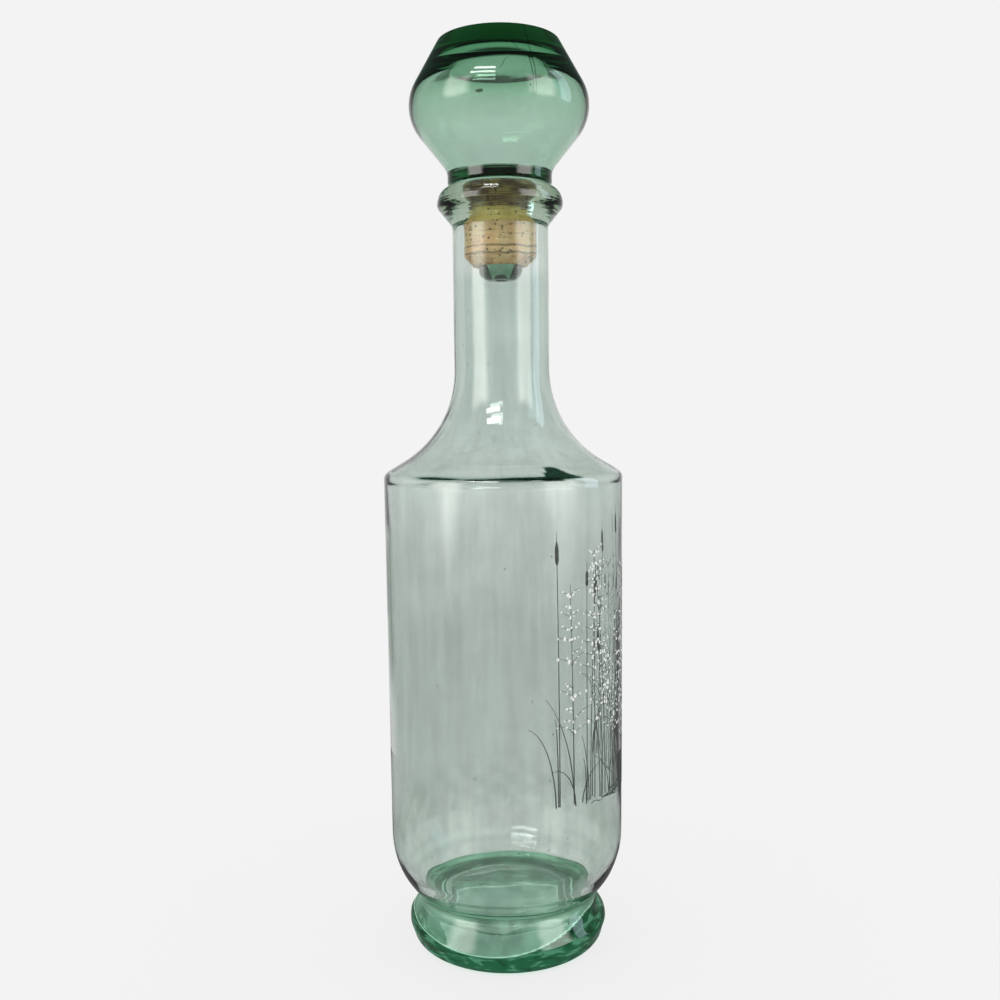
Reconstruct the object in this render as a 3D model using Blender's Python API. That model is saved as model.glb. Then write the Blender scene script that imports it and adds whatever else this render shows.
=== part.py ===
"""Glass decanter: a footed bottle, a hollow glass stopper and the cork sleeve on the stopper's peg.

Metres, +Z up. The origin is the centre of the ring that the foot stands on, and +Z is the axis that
all three pieces are turned about. Each piece is one closed outline, drawn beside the axis as corners
with a rounding each, and spun round it.
"""

import math

import bmesh
import bpy
from mathutils import Vector

# Fit between the pieces
SEAT_GAP = 0.0003

# Foot: a pressed rim under a waist, hollow underneath
FOOT_RADIUS = 0.0364
FOOT_TAPER = 0.0027
RIM_HEIGHT = 0.0083
WAIST_HEIGHT = 0.0158
WAIST_DEPTH = 0.0044
STANDING_RING_WIDTH = 0.0075
HOLLOW_DRAFT = 0.0008
HOLLOW_WALL_HEIGHT = 0.0098
HOLLOW_CROWN_WIDTH = 0.0045
HOLLOW_HEIGHT = 0.0128
FLOOR_THICKNESS = 0.0047
FOOT_ROUNDING = 0.0044
RIM_ROUNDING = 0.0037
WAIST_ROUNDING = 0.0014
RING_ROUNDING = 0.0015
HOLLOW_ROUNDING = 0.0040

# Body: a heel, a wall with a little draft, and a conical shoulder
HEEL_HEIGHT = 0.0136
HEEL_ROUNDING = 0.0333
BODY_RADIUS = 0.0426
BODY_DRAFT = 0.0006
BODY_HEIGHT = 0.1412
BODY_WALL = 0.0021
SHOULDER_WALL = 0.0026
SHOULDER_ANGLE = math.radians(30.9)
SHOULDER_ROUNDING = 0.0032
FLOOR_MARGIN = 0.0032
FLOOR_ROUNDING = 0.0060

# Neck and collar
BORE_RADIUS = 0.0130
NECK_WALL = 0.0039
NECK_SWEEP = 0.0377
NECK_HEIGHT = 0.0713
COLLAR_OVERHANG = 0.0053
COLLAR_SLOPE_HEIGHT = 0.0064
COLLAR_HEIGHT = 0.0071
COLLAR_ROUNDING = 0.0062
COLLAR_UNDER_ROUNDING = 0.0030
LIP_ROUNDING = 0.0012

# Stopper: a hollow bulb on a base that covers the lip, and a hollow peg
BASE_OVERLAP = 0.0053
BASE_HEIGHT = 0.0052
BASE_ROUNDING = 0.0012
FLARE_ROUNDING = 0.0063
BULB_SPREAD = 0.0162
LOWER_FLANK_HEIGHT = 0.0202
UPPER_FLANK_HEIGHT = 0.0235
BULB_ROUNDING = 0.0149
TOP_RADIUS = 0.0212
TOP_ROUNDING = 0.0011
TOP_THICKNESS = 0.0068
CEILING_ROUNDING = 0.0045
BULB_WALL = 0.0027
THROAT_HEIGHT = 0.0012
PEG_RADIUS = 0.0078
PEG_WALL = 0.0034
PEG_PROUD = 0.0048
PEG_END_THICKNESS = 0.0030
PEG_ROUNDING = 0.0040
VENT_RADIUS = 0.0020

# Cork sleeve on the peg
CORK_LENGTH = 0.0277
CORK_CHAMFER = 0.0014

# Fineness of the turned solids
TURN_STEPS = 48
ARC_SAG = 0.00012
WIDEST_ARC_STEP = math.radians(30)
LONGEST_TANGENT_SHARE = 0.96
WELD_DISTANCE = 0.00001
SHARP_ANGLE = math.radians(35)

# Radii that follow from the sizes above
waist_radius = FOOT_RADIUS - WAIST_DEPTH
foot_edge_radius = FOOT_RADIUS - FOOT_TAPER
ring_inner_radius = foot_edge_radius - STANDING_RING_WIDTH
hollow_radius = ring_inner_radius - HOLLOW_DRAFT
heel_radius = BODY_RADIUS - BODY_DRAFT
neck_radius = BORE_RADIUS + NECK_WALL
collar_radius = neck_radius + COLLAR_OVERHANG
base_radius = BORE_RADIUS + BASE_OVERLAP
bulb_corner_radius = base_radius + BULB_SPREAD
cork_radius = BORE_RADIUS - SEAT_GAP
cork_bore_radius = PEG_RADIUS + SEAT_GAP

# Levels above the standing plane
floor_level = HOLLOW_HEIGHT + FLOOR_THICKNESS
heel_level = WAIST_HEIGHT + HEEL_HEIGHT
shoulder_level = heel_level + BODY_HEIGHT
neck_foot_level = shoulder_level + (BODY_RADIUS - neck_radius) * math.tan(SHOULDER_ANGLE)
collar_foot_level = neck_foot_level + NECK_HEIGHT
collar_level = collar_foot_level + COLLAR_SLOPE_HEIGHT
lip_level = collar_level + COLLAR_HEIGHT
base_level = lip_level + SEAT_GAP
flare_level = base_level + BASE_HEIGHT
bulb_level = flare_level + LOWER_FLANK_HEIGHT
top_level = bulb_level + UPPER_FLANK_HEIGHT
cork_top_level = base_level - SEAT_GAP
cork_foot_level = cork_top_level - CORK_LENGTH
peg_end_level = cork_foot_level - PEG_PROUD


def rounded(corners):
    """Points of an outline through (radius, height, rounding) corners, each rounded by a tangent arc.

    Roundings that don't fit along the side they share are drawn in until they do.
    """
    places = [Vector((radius, height)) for radius, height, _ in corners]
    last = len(corners) - 1
    turns = [0.0] * len(corners)
    tangents = [0.0] * len(corners)
    for i in range(1, last):
        arriving = places[i] - places[i - 1]
        leaving = places[i + 1] - places[i]
        turns[i] = arriving.angle(leaving)
        tangents[i] = corners[i][2] * math.tan(turns[i] / 2)
    fits = [1.0] * len(corners)
    for i in range(last):
        needed = tangents[i] + tangents[i + 1]
        allowed = LONGEST_TANGENT_SHARE * (places[i + 1] - places[i]).length
        if needed > allowed:
            fits[i] = min(fits[i], allowed / needed)
            fits[i + 1] = min(fits[i + 1], allowed / needed)
    points = [places[0]]
    for i in range(1, last):
        tangent = tangents[i] * fits[i]
        if tangent == 0:
            points.append(places[i])
            continue
        radius = tangent / math.tan(turns[i] / 2)
        start = places[i] + (places[i - 1] - places[i]).normalized() * tangent
        end = places[i] + (places[i + 1] - places[i]).normalized() * tangent
        inward = ((start + end) / 2 - places[i]).normalized()
        centre = places[i] + inward * math.hypot(radius, tangent)
        points.extend(arc(centre, start, end, radius, turns[i]))
    points.append(places[last])
    return points


def arc(centre, start, end, radius, turn):
    """Points from start to end round centre, fine enough that no chord sags by more than ARC_SAG."""
    sag_share = min(1.0, ARC_SAG / radius)
    step = min(WIDEST_ARC_STEP, 2 * math.acos(1 - sag_share))
    count = max(1, math.ceil(turn / step))
    first = start - centre
    side = math.copysign(1.0, first.x * (end - centre).y - first.y * (end - centre).x)
    points = []
    for i in range(count + 1):
        angle = side * turn * i / count
        turned_x = first.x * math.cos(angle) - first.y * math.sin(angle)
        turned_y = first.x * math.sin(angle) + first.y * math.cos(angle)
        points.append(centre + Vector((turned_x, turned_y)))
    return points


def sloped(radius, level, from_radius, angle):
    """Height on a cone that passes level at from_radius and rises towards the axis."""
    return level + (from_radius - radius) * math.tan(angle)


def turned(name, outline, closed, material):
    """A solid spun from an outline that runs up its inside and down its outside."""
    shape = bmesh.new()
    verts = [shape.verts.new((point.x, 0.0, point.y)) for point in outline]
    ends = list(zip(verts, verts[1:]))
    if closed:
        ends.append((verts[-1], verts[0]))
    edges = [shape.edges.new(pair) for pair in ends]
    bmesh.ops.spin(
        shape,
        geom=verts + edges,
        cent=(0.0, 0.0, 0.0),
        axis=(0.0, 0.0, 1.0),
        angle=2 * math.pi,
        steps=TURN_STEPS,
        use_merge=True,
    )
    bmesh.ops.remove_doubles(shape, verts=shape.verts, dist=WELD_DISTANCE)
    bmesh.ops.recalc_face_normals(shape, faces=shape.faces)
    mesh = bpy.data.meshes.new(name)
    shape.to_mesh(mesh)
    shape.free()
    mesh.materials.append(material)
    mesh.shade_smooth()
    mesh.set_sharp_from_angle(angle=SHARP_ANGLE)
    piece = bpy.data.objects.new(name, mesh)
    bpy.context.scene.collection.objects.link(piece)
    return piece


def bottle_outline():
    """Up the inside from the middle of the floor, over the lip, down the outside and under the foot."""
    inner_shoulder_radius = BODY_RADIUS - BODY_WALL
    slope_drop = SHOULDER_WALL / math.cos(SHOULDER_ANGLE)
    inner_slope_level = shoulder_level - slope_drop
    inside = [
        (0.0, floor_level, 0.0),
        (waist_radius - FLOOR_MARGIN, floor_level, FLOOR_ROUNDING),
        (heel_radius - BODY_WALL, heel_level, HEEL_ROUNDING - BODY_WALL),
        (
            inner_shoulder_radius,
            sloped(inner_shoulder_radius, inner_slope_level, BODY_RADIUS, SHOULDER_ANGLE),
            SHOULDER_ROUNDING,
        ),
        (
            BORE_RADIUS,
            sloped(BORE_RADIUS, inner_slope_level, BODY_RADIUS, SHOULDER_ANGLE),
            NECK_SWEEP + NECK_WALL,
        ),
        (BORE_RADIUS, lip_level, LIP_ROUNDING),
    ]
    outside = [
        (collar_radius, lip_level, COLLAR_ROUNDING),
        (collar_radius, collar_level, COLLAR_UNDER_ROUNDING),
        (neck_radius, collar_foot_level, COLLAR_UNDER_ROUNDING),
        (neck_radius, neck_foot_level, NECK_SWEEP),
        (BODY_RADIUS, shoulder_level, SHOULDER_ROUNDING),
        (heel_radius, heel_level, HEEL_ROUNDING),
        (waist_radius, WAIST_HEIGHT, WAIST_ROUNDING),
        (FOOT_RADIUS, RIM_HEIGHT, RIM_ROUNDING),
        (foot_edge_radius, 0.0, FOOT_ROUNDING),
    ]
    underneath = [
        (ring_inner_radius, 0.0, RING_ROUNDING),
        (hollow_radius, HOLLOW_WALL_HEIGHT, HOLLOW_ROUNDING),
        (hollow_radius - HOLLOW_CROWN_WIDTH, HOLLOW_HEIGHT, HOLLOW_ROUNDING),
        (0.0, HOLLOW_HEIGHT, 0.0),
    ]
    return rounded(inside + outside + underneath)


def stopper_outline():
    """Down the outside from the middle of the top, round the peg's end and up the hollow to its ceiling."""
    peg_hollow_radius = PEG_RADIUS - PEG_WALL
    outside = [
        (0.0, top_level, 0.0),
        (TOP_RADIUS, top_level, TOP_ROUNDING),
        (bulb_corner_radius, bulb_level, BULB_ROUNDING),
        (base_radius, flare_level, FLARE_ROUNDING),
        (base_radius, base_level, BASE_ROUNDING),
        (PEG_RADIUS, base_level, 0.0),
        (PEG_RADIUS, peg_end_level, PEG_ROUNDING),
    ]
    hollow = [
        (VENT_RADIUS, peg_end_level, 0.0),
        (VENT_RADIUS, peg_end_level + PEG_END_THICKNESS, 0.0),
        (peg_hollow_radius, peg_end_level + PEG_END_THICKNESS + peg_hollow_radius, PEG_ROUNDING),
        (peg_hollow_radius, flare_level - THROAT_HEIGHT, FLARE_ROUNDING),
        (base_radius - BULB_WALL, flare_level + THROAT_HEIGHT, FLARE_ROUNDING),
        (bulb_corner_radius - BULB_WALL, bulb_level, BULB_ROUNDING - BULB_WALL),
        (TOP_RADIUS - BULB_WALL / 2, top_level - TOP_THICKNESS, CEILING_ROUNDING),
        (0.0, top_level - TOP_THICKNESS, 0.0),
    ]
    return rounded(outside + hollow)


def cork_outline():
    """A sleeve with both outer edges broken, the lower one more, where it enters the neck."""
    corners = [
        (cork_bore_radius, cork_foot_level),
        (cork_bore_radius, cork_top_level),
        (cork_radius - CORK_CHAMFER / 2, cork_top_level),
        (cork_radius, cork_top_level - CORK_CHAMFER / 2),
        (cork_radius, cork_foot_level + CORK_CHAMFER),
        (cork_radius - CORK_CHAMFER, cork_foot_level),
    ]
    return [Vector(corner) for corner in corners]


def plain_material(name, colour, roughness, transmission, ior):
    """A Principled material with no metal in it."""
    material = bpy.data.materials.new(name)
    material.use_nodes = True
    shader = material.node_tree.nodes["Principled BSDF"]
    shader.inputs["Base Color"].default_value = (*colour, 1.0)
    shader.inputs["Roughness"].default_value = roughness
    shader.inputs["Metallic"].default_value = 0.0
    shader.inputs["Transmission Weight"].default_value = transmission
    shader.inputs["IOR"].default_value = ior
    material.diffuse_color = (*colour, 1.0)
    return material


def main():
    for old in list(bpy.data.objects):
        bpy.data.objects.remove(old, do_unlink=True)

    bottle_glass = plain_material("bottle_glass", (0.62, 0.80, 0.70), 0.03, 1.0, 1.52)
    stopper_glass = plain_material("stopper_glass", (0.52, 0.76, 0.64), 0.03, 1.0, 1.52)
    cork = plain_material("cork", (0.55, 0.36, 0.20), 0.85, 0.0, 1.45)

    turned("bottle", bottle_outline(), False, bottle_glass)
    sleeve = turned("cork_sleeve", cork_outline(), True, cork)
    stopper = turned("stopper", stopper_outline(), False, stopper_glass)

    lift = bpy.data.objects.new("stopper_lift", None)
    bpy.context.scene.collection.objects.link(lift)
    sleeve.parent = lift
    stopper.parent = lift


main()
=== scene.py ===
"""Looks of the glass decanter: fine glass bodies, cork, fired enamel and a pale studio round them.

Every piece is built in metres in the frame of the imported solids, where +Z is the axis that the bottle,
the cork and the stopper are turned about and the camera looks along +Y.
"""

import logging
import math
from dataclasses import dataclass
from enum import Enum
from typing import Any, Sequence, Union

import bmesh
import bpy
import numpy as np
from mathutils import Euler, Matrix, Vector


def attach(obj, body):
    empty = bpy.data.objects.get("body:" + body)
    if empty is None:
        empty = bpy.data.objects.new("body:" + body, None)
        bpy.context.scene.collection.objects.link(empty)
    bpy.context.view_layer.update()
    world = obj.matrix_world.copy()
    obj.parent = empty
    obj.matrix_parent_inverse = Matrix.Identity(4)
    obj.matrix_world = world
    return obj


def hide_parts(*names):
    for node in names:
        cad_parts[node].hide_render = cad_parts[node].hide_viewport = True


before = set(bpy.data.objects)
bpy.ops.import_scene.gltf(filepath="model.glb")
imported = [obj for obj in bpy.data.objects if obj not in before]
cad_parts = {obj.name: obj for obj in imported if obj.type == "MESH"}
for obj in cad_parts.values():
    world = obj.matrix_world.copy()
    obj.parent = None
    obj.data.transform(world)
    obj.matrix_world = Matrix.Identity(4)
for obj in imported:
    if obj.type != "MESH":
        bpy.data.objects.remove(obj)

LOG = logging.getLogger("decanter")
MM = 0.001
BLACK = (0.0, 0.0, 0.0)
ARC_STEP = math.radians(7.5)
TANGENT_SHARE = 0.96
SAME_PLACE = 1e-6
NEAR_AXIS = 1e-9

Corner = tuple[float, float, float]
Colour = tuple[float, float, float]
Scale = tuple[float, float, float]
Span = tuple[float, float]

# Wiring of node trees


class Wire:
    """An output socket of a node tree that takes part in sums."""

    def __init__(self, wiring: "Wiring", socket: bpy.types.NodeSocket) -> None:
        """Wrap a socket.

        Args:
            wiring: the tree that new Math nodes go into.
            socket: the output socket to wrap.
        """
        self.wiring = wiring
        self.socket = socket

    def maths(self, operation: str, *others: "Value", first: "Value | None" = None) -> "Wire":
        """Add a Math node.

        Args:
            operation: the node's operation.
            others: the values after this one.
            first: a value that comes before this one, for reflected forms.

        Returns:
            The node's result.
        """
        chain = [self, *others] if first is None else [first, self]
        return self.wiring.node("ShaderNodeMath", {"operation": operation}, dict(enumerate(chain)))

    def __add__(self, other: "Value") -> "Wire":
        """Sum."""
        return self.maths("ADD", other)

    def __radd__(self, other: "Value") -> "Wire":
        """Sum with the number on the left."""
        return self.maths("ADD", first=other)

    def __sub__(self, other: "Value") -> "Wire":
        """Difference."""
        return self.maths("SUBTRACT", other)

    def __rsub__(self, other: "Value") -> "Wire":
        """Difference with the number on the left."""
        return self.maths("SUBTRACT", first=other)

    def __mul__(self, other: "Value") -> "Wire":
        """Product."""
        return self.maths("MULTIPLY", other)

    def __rmul__(self, other: "Value") -> "Wire":
        """Product with the number on the left."""
        return self.maths("MULTIPLY", first=other)

    def __truediv__(self, other: "Value") -> "Wire":
        """Quotient."""
        return self.maths("DIVIDE", other)

    def __pow__(self, other: "Value") -> "Wire":
        """Power."""
        return self.maths("POWER", other)

    def absolute(self) -> "Wire":
        """Size without its sign."""
        return self.maths("ABSOLUTE")

    def at_most(self, other: "Value") -> "Wire":
        """The lesser of two."""
        return self.maths("MINIMUM", other)

    def at_least(self, other: "Value") -> "Wire":
        """The greater of two."""
        return self.maths("MAXIMUM", other)

    def fade(self, start: float, end: float) -> "Wire":
        """Smooth step from 0 at start to 1 at end.

        Args:
            start: where the step begins.
            end: where it is complete; it may lie below start.

        Returns:
            The step's value between 0 and 1.
        """
        low, high, out = (start, end, (0.0, 1.0)) if start < end else (end, start, (1.0, 0.0))
        settings = {"interpolation_type": "SMOOTHSTEP"}
        sockets = {"Value": self, "From Min": low, "From Max": high, "To Min": out[0], "To Max": out[1]}
        return self.wiring.node("ShaderNodeMapRange", settings, sockets)


Value = Union[Wire, float, int]


class Wiring:
    """A node tree with one method that adds any node."""

    def __init__(self, tree: bpy.types.NodeTree) -> None:
        """Keep the tree that the nodes go into.

        Args:
            tree: a shader or geometry tree.
        """
        self.tree = tree

    def node(
        self,
        kind: str,
        settings: dict[str, Any] | None = None,
        sockets: dict[Any, Any] | None = None,
        output: str | int = 0,
    ) -> Wire:
        """Add a node, with its settings first and its sockets after them.

        Args:
            kind: the node's type.
            settings: its properties; stops sets a ramp's positions and colours.
            sockets: values, Wires or materials by the input's name or number.
            output: name or number of the output that is returned.

        Returns:
            The chosen output, wrapped.
        """
        node = self.tree.nodes.new(kind)
        for name, value in (settings or {}).items():
            if name == "stops":
                ramp = node.color_ramp
                for place, _ in value[1:-1]:
                    ramp.elements.new(place)
                for element, (place, colour) in zip(ramp.elements, value):
                    element.position = place
                    element.color = (*colour, 1.0)
            else:
                setattr(node, name, value)
        for key, value in (sockets or {}).items():
            target = node.inputs[key]
            if isinstance(value, Wire):
                self.tree.links.new(value.socket, target)
            elif isinstance(value, tuple) and len(value) == 3 and target.type == "RGBA":
                target.default_value = (*value, 1.0)
            else:
                target.default_value = value
        if not len(node.outputs):
            return Wire(self, node.inputs[0])
        return Wire(self, node.outputs[output])

    def blend(self, factor: Value, first: Any, second: Any) -> Wire:
        """Mix two colours.

        Args:
            factor: 0 for the first, 1 for the second.
            first: a colour or a Wire.
            second: a colour or a Wire.

        Returns:
            The mixed colour.
        """
        sockets = {"Factor": factor, 6: first, 7: second}
        return self.node("ShaderNodeMix", {"data_type": "RGBA"}, sockets, 2)

    def added(self, first: Wire, factor: Value, second: Colour) -> Wire:
        """Add a share of a colour to another."""
        sockets = {"Factor": factor, 6: first, 7: second}
        return self.node("ShaderNodeMix", {"data_type": "RGBA", "blend_type": "ADD"}, sockets, 2)

    def scaled(self, vector: Wire, scale: Scale) -> Wire:
        """Multiply a vector by another, part by part."""
        return self.node("ShaderNodeVectorMath", {"operation": "MULTIPLY"}, {0: vector, 1: scale})

    def parts(self, vector: Wire) -> tuple[Wire, Wire, Wire]:
        """Split a vector into its three parts.

        Args:
            vector: a place or a direction.

        Returns:
            Its X, Y and Z.
        """
        first = self.node("ShaderNodeSeparateXYZ", {}, {0: vector})
        outputs = first.socket.node.outputs
        return first, Wire(self, outputs[1]), Wire(self, outputs[2])

    def place(self) -> Wire:
        """Each point's place on the object."""
        return self.node("ShaderNodeTexCoord", {}, {}, "Object")

    def noise(self, place: Wire, scale: float, detail: float, distortion: float = 0.0) -> Wire:
        """Cloudy pattern between 0 and 1."""
        sockets = {"Vector": place, "Scale": scale, "Detail": detail, "Distortion": distortion}
        return self.node("ShaderNodeTexNoise", {}, sockets)

    def specks(self, place: Wire, scale: float) -> Wire:
        """Distance from scattered points."""
        return self.node("ShaderNodeTexVoronoi", {}, {"Vector": place, "Scale": scale})

    def kept(self, title: str) -> Wire:
        """Number kept on each point under a title."""
        return self.node("ShaderNodeAttribute", {"attribute_name": title}, {}, "Fac")

    def bump(self, height: Wire, strength: float, distance: float) -> Wire:
        """Normal bent by a height."""
        return self.node("ShaderNodeBump", {}, {"Strength": strength, "Distance": distance, "Height": height})

    def mixed(self, factor: Wire, first: Wire, second: Wire) -> Wire:
        """Mix two shaders."""
        return self.node("ShaderNodeMixShader", {}, {0: factor, 1: first, 2: second})

    def surface(self, sockets: dict[str, Any]) -> Wire:
        """Principled shader as the material's surface.

        Args:
            sockets: the shader's values and Wires by name.

        Returns:
            The material's output node, by its first input.
        """
        shader = self.node("ShaderNodeBsdfPrincipled", {}, sockets)
        return self.node("ShaderNodeOutputMaterial", {}, {"Surface": shader})


def new_material(name: str) -> tuple[bpy.types.Material, Wiring]:
    """Make an empty node material.

    Args:
        name: the material's name.

    Returns:
        The material and the wiring of its emptied tree.
    """
    material = bpy.data.materials.new(name)
    material.use_nodes = True
    material.node_tree.nodes.clear()
    return material, Wiring(material.node_tree)


# Finishes


@dataclass(frozen=True)
class GlassFinish:
    """Clear glass with a green body colour that deepens with its thickness.

    It reads numbers kept on the points: the rim mark, where the solid rim is painted dark green as shade and
    lit with painted patches of light; veils and a soft glow, painted light given off as emission, the soft
    glow also painted shade on the tint; shade, where painted shade darkens the glass; and seam near the
    mould's seam. A gain gives the share of a painted light that follows the clouds and the share that is
    always there.
    """

    name: str
    tints: tuple[tuple[float, Colour], ...]
    # Painted shade: the near-black green that the rim mark darkens the tint to. The two colours below it are
    # painted light, given off as emission in patches in the rim.
    deep: Colour = (0.0010, 0.02, 0.008)
    painted_rim_light: Colour = (0.0030, 0.050, 0.019)
    painted_rim_highlight: Colour = (0.060, 0.190, 0.115)
    # Painted light, given off as emission where the painted veils are marked.
    veil: Colour = (0.15, 0.22, 0.18)
    # Painted highlight along the foot's crease, given off as emission.
    crease: Colour = (0.22, 0.38, 0.30)
    crease_highlight_reach: Span = (0.34, 0.12)
    # Painted shade, and the near-black of its darkest parts, which the seeds share.
    shade: Colour = (0.01, 0.12, 0.05)
    shade_core: Colour = (0.0003, 0.003, 0.0012)
    shade_core_from: Span = (0.70, 0.95)
    # Painted light, given off as emission where the soft-glow mark is set; the same mark darkens the tint
    # under it as painted shade.
    haze: Colour = (0.085, 0.175, 0.122)
    painted_haze_share: float = 0.85
    painted_haze_clouds: Span = (0.40, 0.60)
    painted_haze_gain: Span = (0.8, 0.4)
    painted_veil_clouds: Span = (0.30, 0.66)
    painted_veil_gain: Span = (0.7, 0.3)
    streak_scale: float = 230.0
    streak_stretch: Scale = (1.0, 1.0, 0.12)
    streak_weights: Span = (0.6, 0.4)
    streak_fade: Span = (0.36, 0.64)
    streak_share: float = 0.13
    cloud_scale: float = 60.0
    patch_scale: float = 230.0
    patch_stretch: Scale = (0.6, 0.6, 2.0)
    patch_distortion: float = 0.7
    patch_light: Span = (0.52, 0.66)
    patch_dark: Span = (0.47, 0.38)
    patch_dark_share: float = 0.7
    seed_scale: float = 95.0
    seed_size: Span = (0.045, 0.02)
    seed_share: float = 0.7
    seam_turn: float | None = None
    seam_half_width: float = 0.00026
    seam_tint: Colour = (0.01, 0.05, 0.025)
    seam_share: float = 0.9
    fleck: tuple[float, float, float] | None = None
    fleck_stretch: Scale = (620.0, 300.0, 1500.0)
    fleck_edge: Span = (1.5, 1.1)
    fleck_tint: Colour = (0.03, 0.02, 0.01)
    fleck_share: float = 0.95
    grit_scale: float = 900.0
    density: float = 105.0
    passed: Colour = (0.70, 0.805, 0.742)
    ior: float = 1.52
    roughness: float = 0.0
    mottle_scale: float = 90.0
    mottle_strength: float = 0.02
    mottle_depth: float = 0.0004

    def tint(self, wiring: Wiring, place: Wire, clouds: Wire) -> Wire:
        """Tint by height, with streaks and seeds, and painted shade where the rim, shade and soft-glow marks
        are set.

        Args:
            wiring: the material's wiring.
            place: each point's place.
            clouds: a slow cloudy pattern.

        Returns:
            The tint.
        """
        low, high = self.tints[0][0], self.tints[-1][0]
        stops = [((level - low) / (high - low), colour) for level, colour in self.tints]
        height = (wiring.parts(place)[2] - low) / (high - low)
        tint = wiring.node("ShaderNodeValToRGB", {"stops": stops}, {0: height})
        streaks = wiring.noise(wiring.scaled(place, self.streak_stretch), self.streak_scale, 5.0)
        uneven = streaks * self.streak_weights[0] + clouds * self.streak_weights[1]
        tint = wiring.blend(uneven.fade(*self.streak_fade) * self.streak_share, tint, BLACK)
        # Painted shade: the rim mark and the shade mark darken the tint.
        tint = wiring.blend(wiring.kept("thick"), tint, self.deep)
        shade = wiring.kept("shade")
        tint = wiring.blend(shade, tint, self.shade)
        tint = wiring.blend(shade.fade(*self.shade_core_from), tint, self.shade_core)
        # Painted shade under the soft glow: the tint is darkened where it is set.
        tint = wiring.blend(wiring.kept("haze") * self.painted_haze_share, tint, BLACK)
        seeds = wiring.specks(place, self.seed_scale).fade(*self.seed_size)
        return wiring.blend(seeds * self.seed_share, tint, self.shade_core)

    def glow(self, wiring: Wiring, place: Wire, clouds: Wire) -> Wire:
        """Painted light, as emission: patches in the rim, veils, a highlight on the crease and a soft glow.

        Args:
            wiring: the material's wiring.
            place: each point's place.
            clouds: a slow cloudy pattern.

        Returns:
            The light's colour.
        """
        thick = wiring.kept("thick")
        rolled = wiring.scaled(place, self.patch_stretch)
        patches = wiring.noise(rolled, self.patch_scale, 8.0, self.patch_distortion)
        glow = wiring.blend(patches.fade(*self.patch_light), self.painted_rim_light, self.painted_rim_highlight)
        glow = wiring.blend(patches.fade(*self.patch_dark) * self.patch_dark_share, glow, BLACK)
        glow = wiring.blend(thick, BLACK, glow)
        painted_veil_amount = clouds.fade(*self.painted_veil_clouds) * self.painted_veil_gain[0] + self.painted_veil_gain[1]
        glow = wiring.added(glow, wiring.kept("veil") * painted_veil_amount, self.veil)
        # Painted highlight along the crease, where the rim mark is half set.
        glow = wiring.added(glow, (thick - 0.5).absolute().fade(*self.crease_highlight_reach), self.crease)
        painted_haze_amount = clouds.fade(*self.painted_haze_clouds) * self.painted_haze_gain[0] + self.painted_haze_gain[1]
        return wiring.added(glow, wiring.kept("haze") * painted_haze_amount, self.haze)

    def flawed(self, wiring: Wiring, place: Wire, tint: Wire) -> Wire:
        """Add the mould's seam and a fleck of grit to the tint, where the piece has them.

        Args:
            wiring: the material's wiring.
            place: each point's place.
            tint: the tint without them.

        Returns:
            The tint with them.
        """
        if self.seam_turn is not None:
            across, along, _ = wiring.parts(place)
            off = (across * math.sin(self.seam_turn) - along * math.cos(self.seam_turn)).absolute()
            line = off.fade(self.seam_half_width, self.seam_half_width / 3) * wiring.kept("seam")
            tint = wiring.blend(line * self.seam_share, tint, self.seam_tint)
        if self.fleck is not None:
            moved = wiring.node("ShaderNodeVectorMath", {"operation": "SUBTRACT"}, {0: place, 1: self.fleck})
            spread = wiring.scaled(moved, self.fleck_stretch)
            away = wiring.node("ShaderNodeVectorMath", {"operation": "LENGTH"}, {0: spread}, "Value")
            speck = (away + wiring.noise(place, self.grit_scale, 2.0)).fade(*self.fleck_edge)
            tint = wiring.blend(speck * self.fleck_share, tint, self.fleck_tint)
        return tint

    def material(self) -> bpy.types.Material:
        """Build the glass material.

        Returns:
            The material.
        """
        material, wiring = new_material(self.name)
        place = wiring.place()
        clouds = wiring.noise(place, self.cloud_scale, 4.0)
        tint = self.flawed(wiring, place, self.tint(wiring, place, clouds))
        mottle = wiring.noise(place, self.mottle_scale, 1.0)
        output = wiring.surface(
            {
                "Base Color": tint,
                "Roughness": self.roughness,
                "IOR": self.ior,
                "Transmission Weight": 1.0,
                "Emission Color": self.glow(wiring, place, clouds),
                "Emission Strength": 1.0,
                "Normal": wiring.bump(mottle, self.mottle_strength, self.mottle_depth),
            }
        )
        sockets = {"Color": self.passed, "Density": self.density}
        absorption = wiring.node("ShaderNodeVolumeAbsorption", {}, sockets)
        wiring.tree.links.new(absorption.socket, output.socket.node.inputs["Volume"])
        return material


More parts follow.
